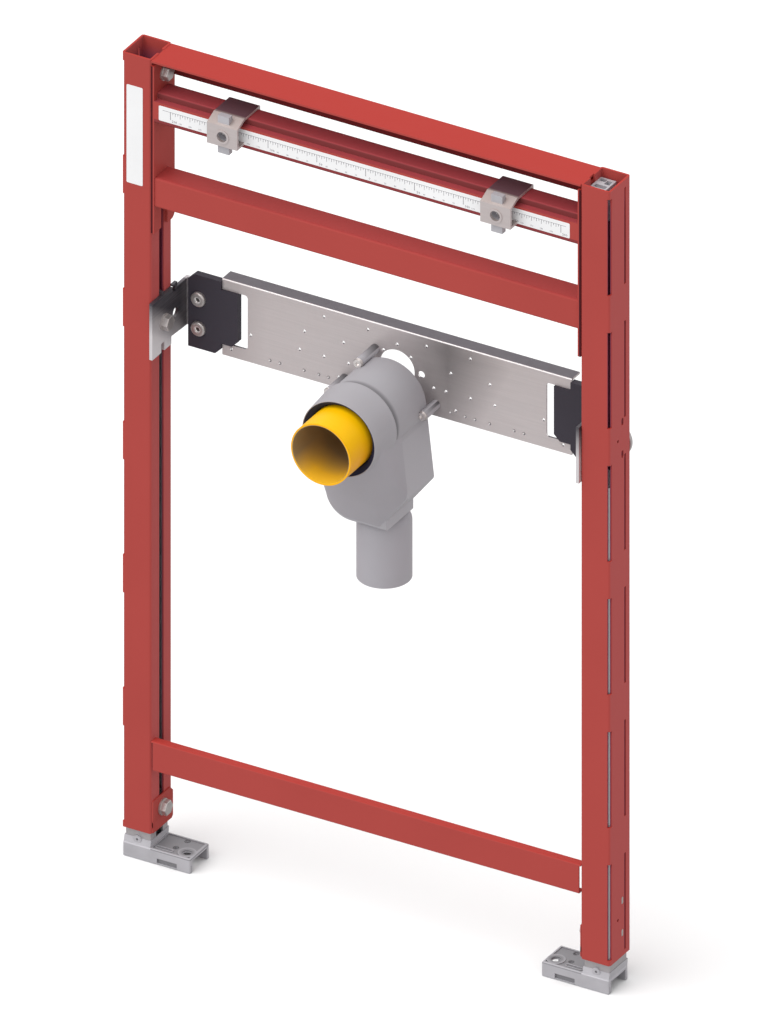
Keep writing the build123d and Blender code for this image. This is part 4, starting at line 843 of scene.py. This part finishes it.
# Lip seal that narrows like a funnel from the socket's mouth to the plug
seal = lathe(
    "seal_lip",
    (
        (-0.0664, SEAL_R - 0.0001),
        (-0.0666, SEAL_R - 0.0005),
        (-0.0650, SEAL_R - 0.0016),
        (-0.0630, PLUG_R + 0.0024),
        (-0.0610, PLUG_R + 0.0010),
        (-0.0550, PLUG_R + 0.0003),
        (-0.0550, SEAL_R - 0.0001),
    ),
    RUBBER,
)
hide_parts("seal_ring")

# Trap body as in the CAD, with the outer skin of its socket tapered to the mouth
SOCKET_TAPER = (SOCKET_R - MOUTH_R) / (SOCKET_STEP - MOUTH_DEPTH)
shape = bmesh.new()
shape.from_mesh(NODES["trap_body"].data)
for vert in shape.verts:
    off_x = vert.co.x - MID_X
    off_z = vert.co.z - TRAP_AXIS_Z
    radius = math.hypot(off_x, off_z)
    if vert.co.y < SOCKET_STEP + 0.0001 and SEAL_R + 0.0005 < radius < SOCKET_R + 0.0002:
        wanted = MOUTH_R + (vert.co.y - MOUTH_DEPTH) * SOCKET_TAPER - (SOCKET_R - radius)
        vert.co.x = MID_X + off_x * wanted / radius
        vert.co.z = TRAP_AXIS_Z + off_z * wanted / radius
shell = new_piece("trap_shell", shape, TRAP_GREY)
smooth(shell, 30)
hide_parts("trap_body")

# Thin collar of the socket round the seal
lathe(
    "socket_collar",
    (
        (-0.0666, SEAL_R),
        (-0.0669, SEAL_R + 0.0003),
        (-0.0667, MOUTH_R - 0.0001),
        (-0.0664, MOUTH_R),
        (-0.0600, MOUTH_R + 0.0065 * SOCKET_TAPER),
        (-0.0600, SEAL_R),
    ),
    TRAP_GREY,
)

# Chin, one smooth form from the socket's lower half to the body's front edges
# Its front is an arc, its back a loop with one round corner, both as X and Z from the axis
CHIN_BACK = -0.0166
CHIN_FRONT = -0.0585
CHIN_R = 0.0378
CHIN_CORNER = (-0.0160, -0.0866)
CHIN_CORNER_R = 0.02605
CHIN_EDGES = (
    (-0.04205, -0.0012),
    (0.0133, -0.11265),
    (0.0382, -0.0801),
    (0.0411, -0.0752),
    (0.0419, -0.0700),
    (0.03605, -0.0176),
    (0.0340, -0.0012),
)
chin_points = []
for step in range(57):
    angle = math.radians(-1.5 - step * 3.1607)
    chin_points.append((CHIN_R * math.cos(angle), CHIN_FRONT, CHIN_R * math.sin(angle)))
for step in range(13):
    angle = math.radians(180 + step * 7.5)
    x = CHIN_CORNER[0] + CHIN_CORNER_R * math.cos(angle)
    z = CHIN_CORNER[1] + CHIN_CORNER_R * math.sin(angle)
    chin_points.append((x, CHIN_BACK, z))
for x, z in CHIN_EDGES:
    chin_points.append((x, CHIN_BACK, z))
shape = bmesh.new()
for x, y, z in chin_points:
    shape.verts.new((MID_X + x, y, TRAP_AXIS_Z + z))
hull = bmesh.ops.convex_hull(shape, input=shape.verts)
loose = [v for v in hull["geom_interior"] if isinstance(v, bmesh.types.BMVert)]
bmesh.ops.delete(shape, geom=loose, context="VERTS")
# The chin's flat ends and what reaches over the socket's middle aren't kept
hidden = []
for face in shape.faces:
    depths = [vert.co.y for vert in face.verts]
    heights = [vert.co.z for vert in face.verts]
    flat = max(depths) - min(depths) < 0.0001
    if flat or min(heights) > TRAP_AXIS_Z - 0.0015:
        hidden.append(face)
bmesh.ops.delete(shape, geom=hidden, context="FACES_ONLY")
bmesh.ops.recalc_face_normals(shape, faces=shape.faces)
chin = new_piece("trap_chin", shape, GREY)
smooth(chin, 25)


def plate_piece(name, x_low, x_high, outline, finish):
    """Thin plate across the frame from a loop of depth and height."""
    shape = bmesh.new()
    sheet = shape.faces.new([shape.verts.new((x_low, y, z)) for y, z in outline])
    risen = bmesh.ops.extrude_face_region(shape, geom=[sheet])
    moved = [v for v in risen["geom"] if isinstance(v, bmesh.types.BMVert)]
    bmesh.ops.translate(shape, verts=moved, vec=(x_high - x_low, 0, 0))
    bmesh.ops.recalc_face_normals(shape, faces=shape.faces)
    rims = [edge for edge in shape.edges if edge.calc_face_angle(0) > 1.0]
    bmesh.ops.bevel(shape, geom=rims, offset=0.00015, segments=2, affect="EDGES")
    return new_piece(name, shape, finish)


# Lower ends of the foot clamp plates, down to the posts' feet
SKIRT = (
    (-0.0170, 0.0400),
    (-0.0170, 0.0300),
    (-0.0160, 0.0290),
    (0.0165, 0.0290),
    (0.0185, 0.0310),
    (0.0185, 0.0400),
)
plate_piece("left_foot_skirt", -0.0070, -0.00575, SKIRT, RED)
plate_piece("right_foot_skirt", 0.43175, 0.4330, SKIRT, RED)

# Bright studs in the look holes on the posts' outer sides
STUD_Y = 0.0040
STUD_R = 0.0016
STUD_STRAIGHT = 0.0020
for side, x_low, x_high in (("left", -0.0369, -0.0352), ("right", 0.4612, 0.4629)):
    for level, z in (("upper", 0.0857), ("lower", 0.0525)):
        outline = []
        for step in range(24):
            angle = math.radians(7.5 + step * 15)
            end = STUD_STRAIGHT if math.sin(angle) > 0 else -STUD_STRAIGHT
            y = STUD_Y + STUD_R * math.cos(angle)
            outline.append((y, z + end + STUD_R * math.sin(angle)))
        plate_piece(side + "_" + level + "_stud", x_low, x_high, outline, BOLT)

# Sills that close the side recesses of the feet at the bottom
SILL_FRONT = -0.0187
SILL_BACK = -0.0166
SILL_LOW = 0.0001
SILL_HIGH = 0.0013
for side, x_low, x_high in (("left", -0.00105, 0.01945), ("right", 0.40655, 0.42705)):
    shape = bmesh.new()
    add_block(shape, (x_low, SILL_FRONT, SILL_LOW), (x_high, SILL_BACK, SILL_HIGH))
    bmesh.ops.bevel(shape, geom=list(shape.edges), offset=0.0002, segments=2, affect="EDGES")
    new_piece(side + "_foot_sill", shape, FOOT_CAST)

# Lower flange of the cross plate, seen through its lower holes
FLANGE_LOW = (0.0540, 0.0387, 0.5048)
FLANGE_HIGH = (0.3720, 0.0515, 0.5068)
shape = bmesh.new()
add_block(shape, FLANGE_LOW, FLANGE_HIGH)
bmesh.ops.bevel(shape, geom=list(shape.edges), offset=0.0004, segments=2, affect="EDGES")
new_piece("trap_plate_flange", shape, GALVANISED)

# Bright washers under the heads of the trap screws
for index, (off_x, off_z, depth) in enumerate(BOSSES):
    lathe(
        "trap_washer_%d" % (index + 1),
        (
            (depth - 0.0002, 0.0020),
            (depth - 0.0014, 0.0020),
            (depth - 0.0014, 0.0046),
            (depth - 0.0011, 0.0049),
            (depth - 0.0005, 0.0049),
            (depth - 0.0002, 0.0046),
        ),
        BOLT,
        sides=48,
        middle=(MID_X + off_x, TRAP_AXIS_Z + off_z),
    )

# Floor, large, pale to the camera and greyer to bounced light
FLOOR_SIZE = 12.0
FLOOR_DROP = 0.0005
FLOOR_BOUNCE = (0.48, 0.48, 0.48, 1.0)
floor_mesh = bpy.data.meshes.new("floor")
floor_shape = bmesh.new()
bmesh.ops.create_grid(floor_shape, x_segments=1, y_segments=1, size=FLOOR_SIZE)
floor_shape.to_mesh(floor_mesh)
floor_shape.free()
floor = bpy.data.objects.new("floor", floor_mesh)
floor.location = (MID_X, 0.0, -FLOOR_DROP)
SCENE.collection.objects.link(floor)
floor_maker = Maker("floor")
floor_drift = floor_maker.noise(0.6)
floor_colour = floor_maker.ramp(floor_drift, linear(243, 243, 243), linear(245, 245, 245))
floor_path = floor_maker.tree.nodes.new("ShaderNodeLightPath")
floor_maker.finish(
    floor_maker.mix(floor_path.outputs["Is Camera Ray"], FLOOR_BOUNCE, floor_colour),
    floor_maker.spread(floor_maker.noise(3.0), 0.9, 0.95),
    floor_maker.bump(floor_maker.noise(20.0), 0.02, 0.001),
    specular=0.0,
)
floor_mesh.materials.append(floor_maker.material)

# World light, white where the camera or a gloss ray sees it, weaker as a lamp
WORLD_LIGHT = 0.85
world = bpy.data.worlds.new("studio")
SCENE.world = world
world.use_nodes = True
sky = world.node_tree
background = sky.nodes["Background"]
background.inputs["Color"].default_value = (1.0, 1.0, 1.0, 1.0)
path = sky.nodes.new("ShaderNodeLightPath")
either = sky.nodes.new("ShaderNodeMath")
either.operation = "MAXIMUM"
sky.links.new(path.outputs["Is Camera Ray"], either.inputs[0])
sky.links.new(path.outputs["Is Glossy Ray"], either.inputs[1])
level = sky.nodes.new("ShaderNodeMapRange")
level.inputs["To Min"].default_value = WORLD_LIGHT
level.inputs["To Max"].default_value = 1.0
sky.links.new(either.outputs[0], level.inputs["Value"])
sky.links.new(level.outputs["Result"], background.inputs["Strength"])


def sun(name, direction, strength, spread):
    """Wide soft sun that shines from the given direction."""
    lamp = bpy.data.lights.new(name, "SUN")
    lamp.energy = strength
    lamp.angle = math.radians(spread)
    made = bpy.data.objects.new(name, lamp)
    made.rotation_euler = Vector(direction).to_track_quat("Z", "Y").to_euler()
    SCENE.collection.objects.link(made)


sun("key", (-0.15, -0.27, 0.50), 1.75, 60)

# Camera with parallel projection, 30 degrees round and 30 degrees up
CAMERA_WIDTH = 0.9085
CAMERA_BACK = Vector((0.4330, -0.7500, 0.5000)).normalized()
CAMERA_AIM = Vector((0.23167, -0.0185, 0.4280))
CAMERA_AWAY = 3.0
camera_data = bpy.data.cameras.new("camera")
camera_data.type = "ORTHO"
camera_data.ortho_scale = CAMERA_WIDTH
camera_data.clip_end = 30.0
camera = bpy.data.objects.new("camera", camera_data)
camera.location = CAMERA_AIM + CAMERA_BACK * CAMERA_AWAY
camera.rotation_euler = CAMERA_BACK.to_track_quat("Z", "Y").to_euler()
SCENE.collection.objects.link(camera)
SCENE.camera = camera
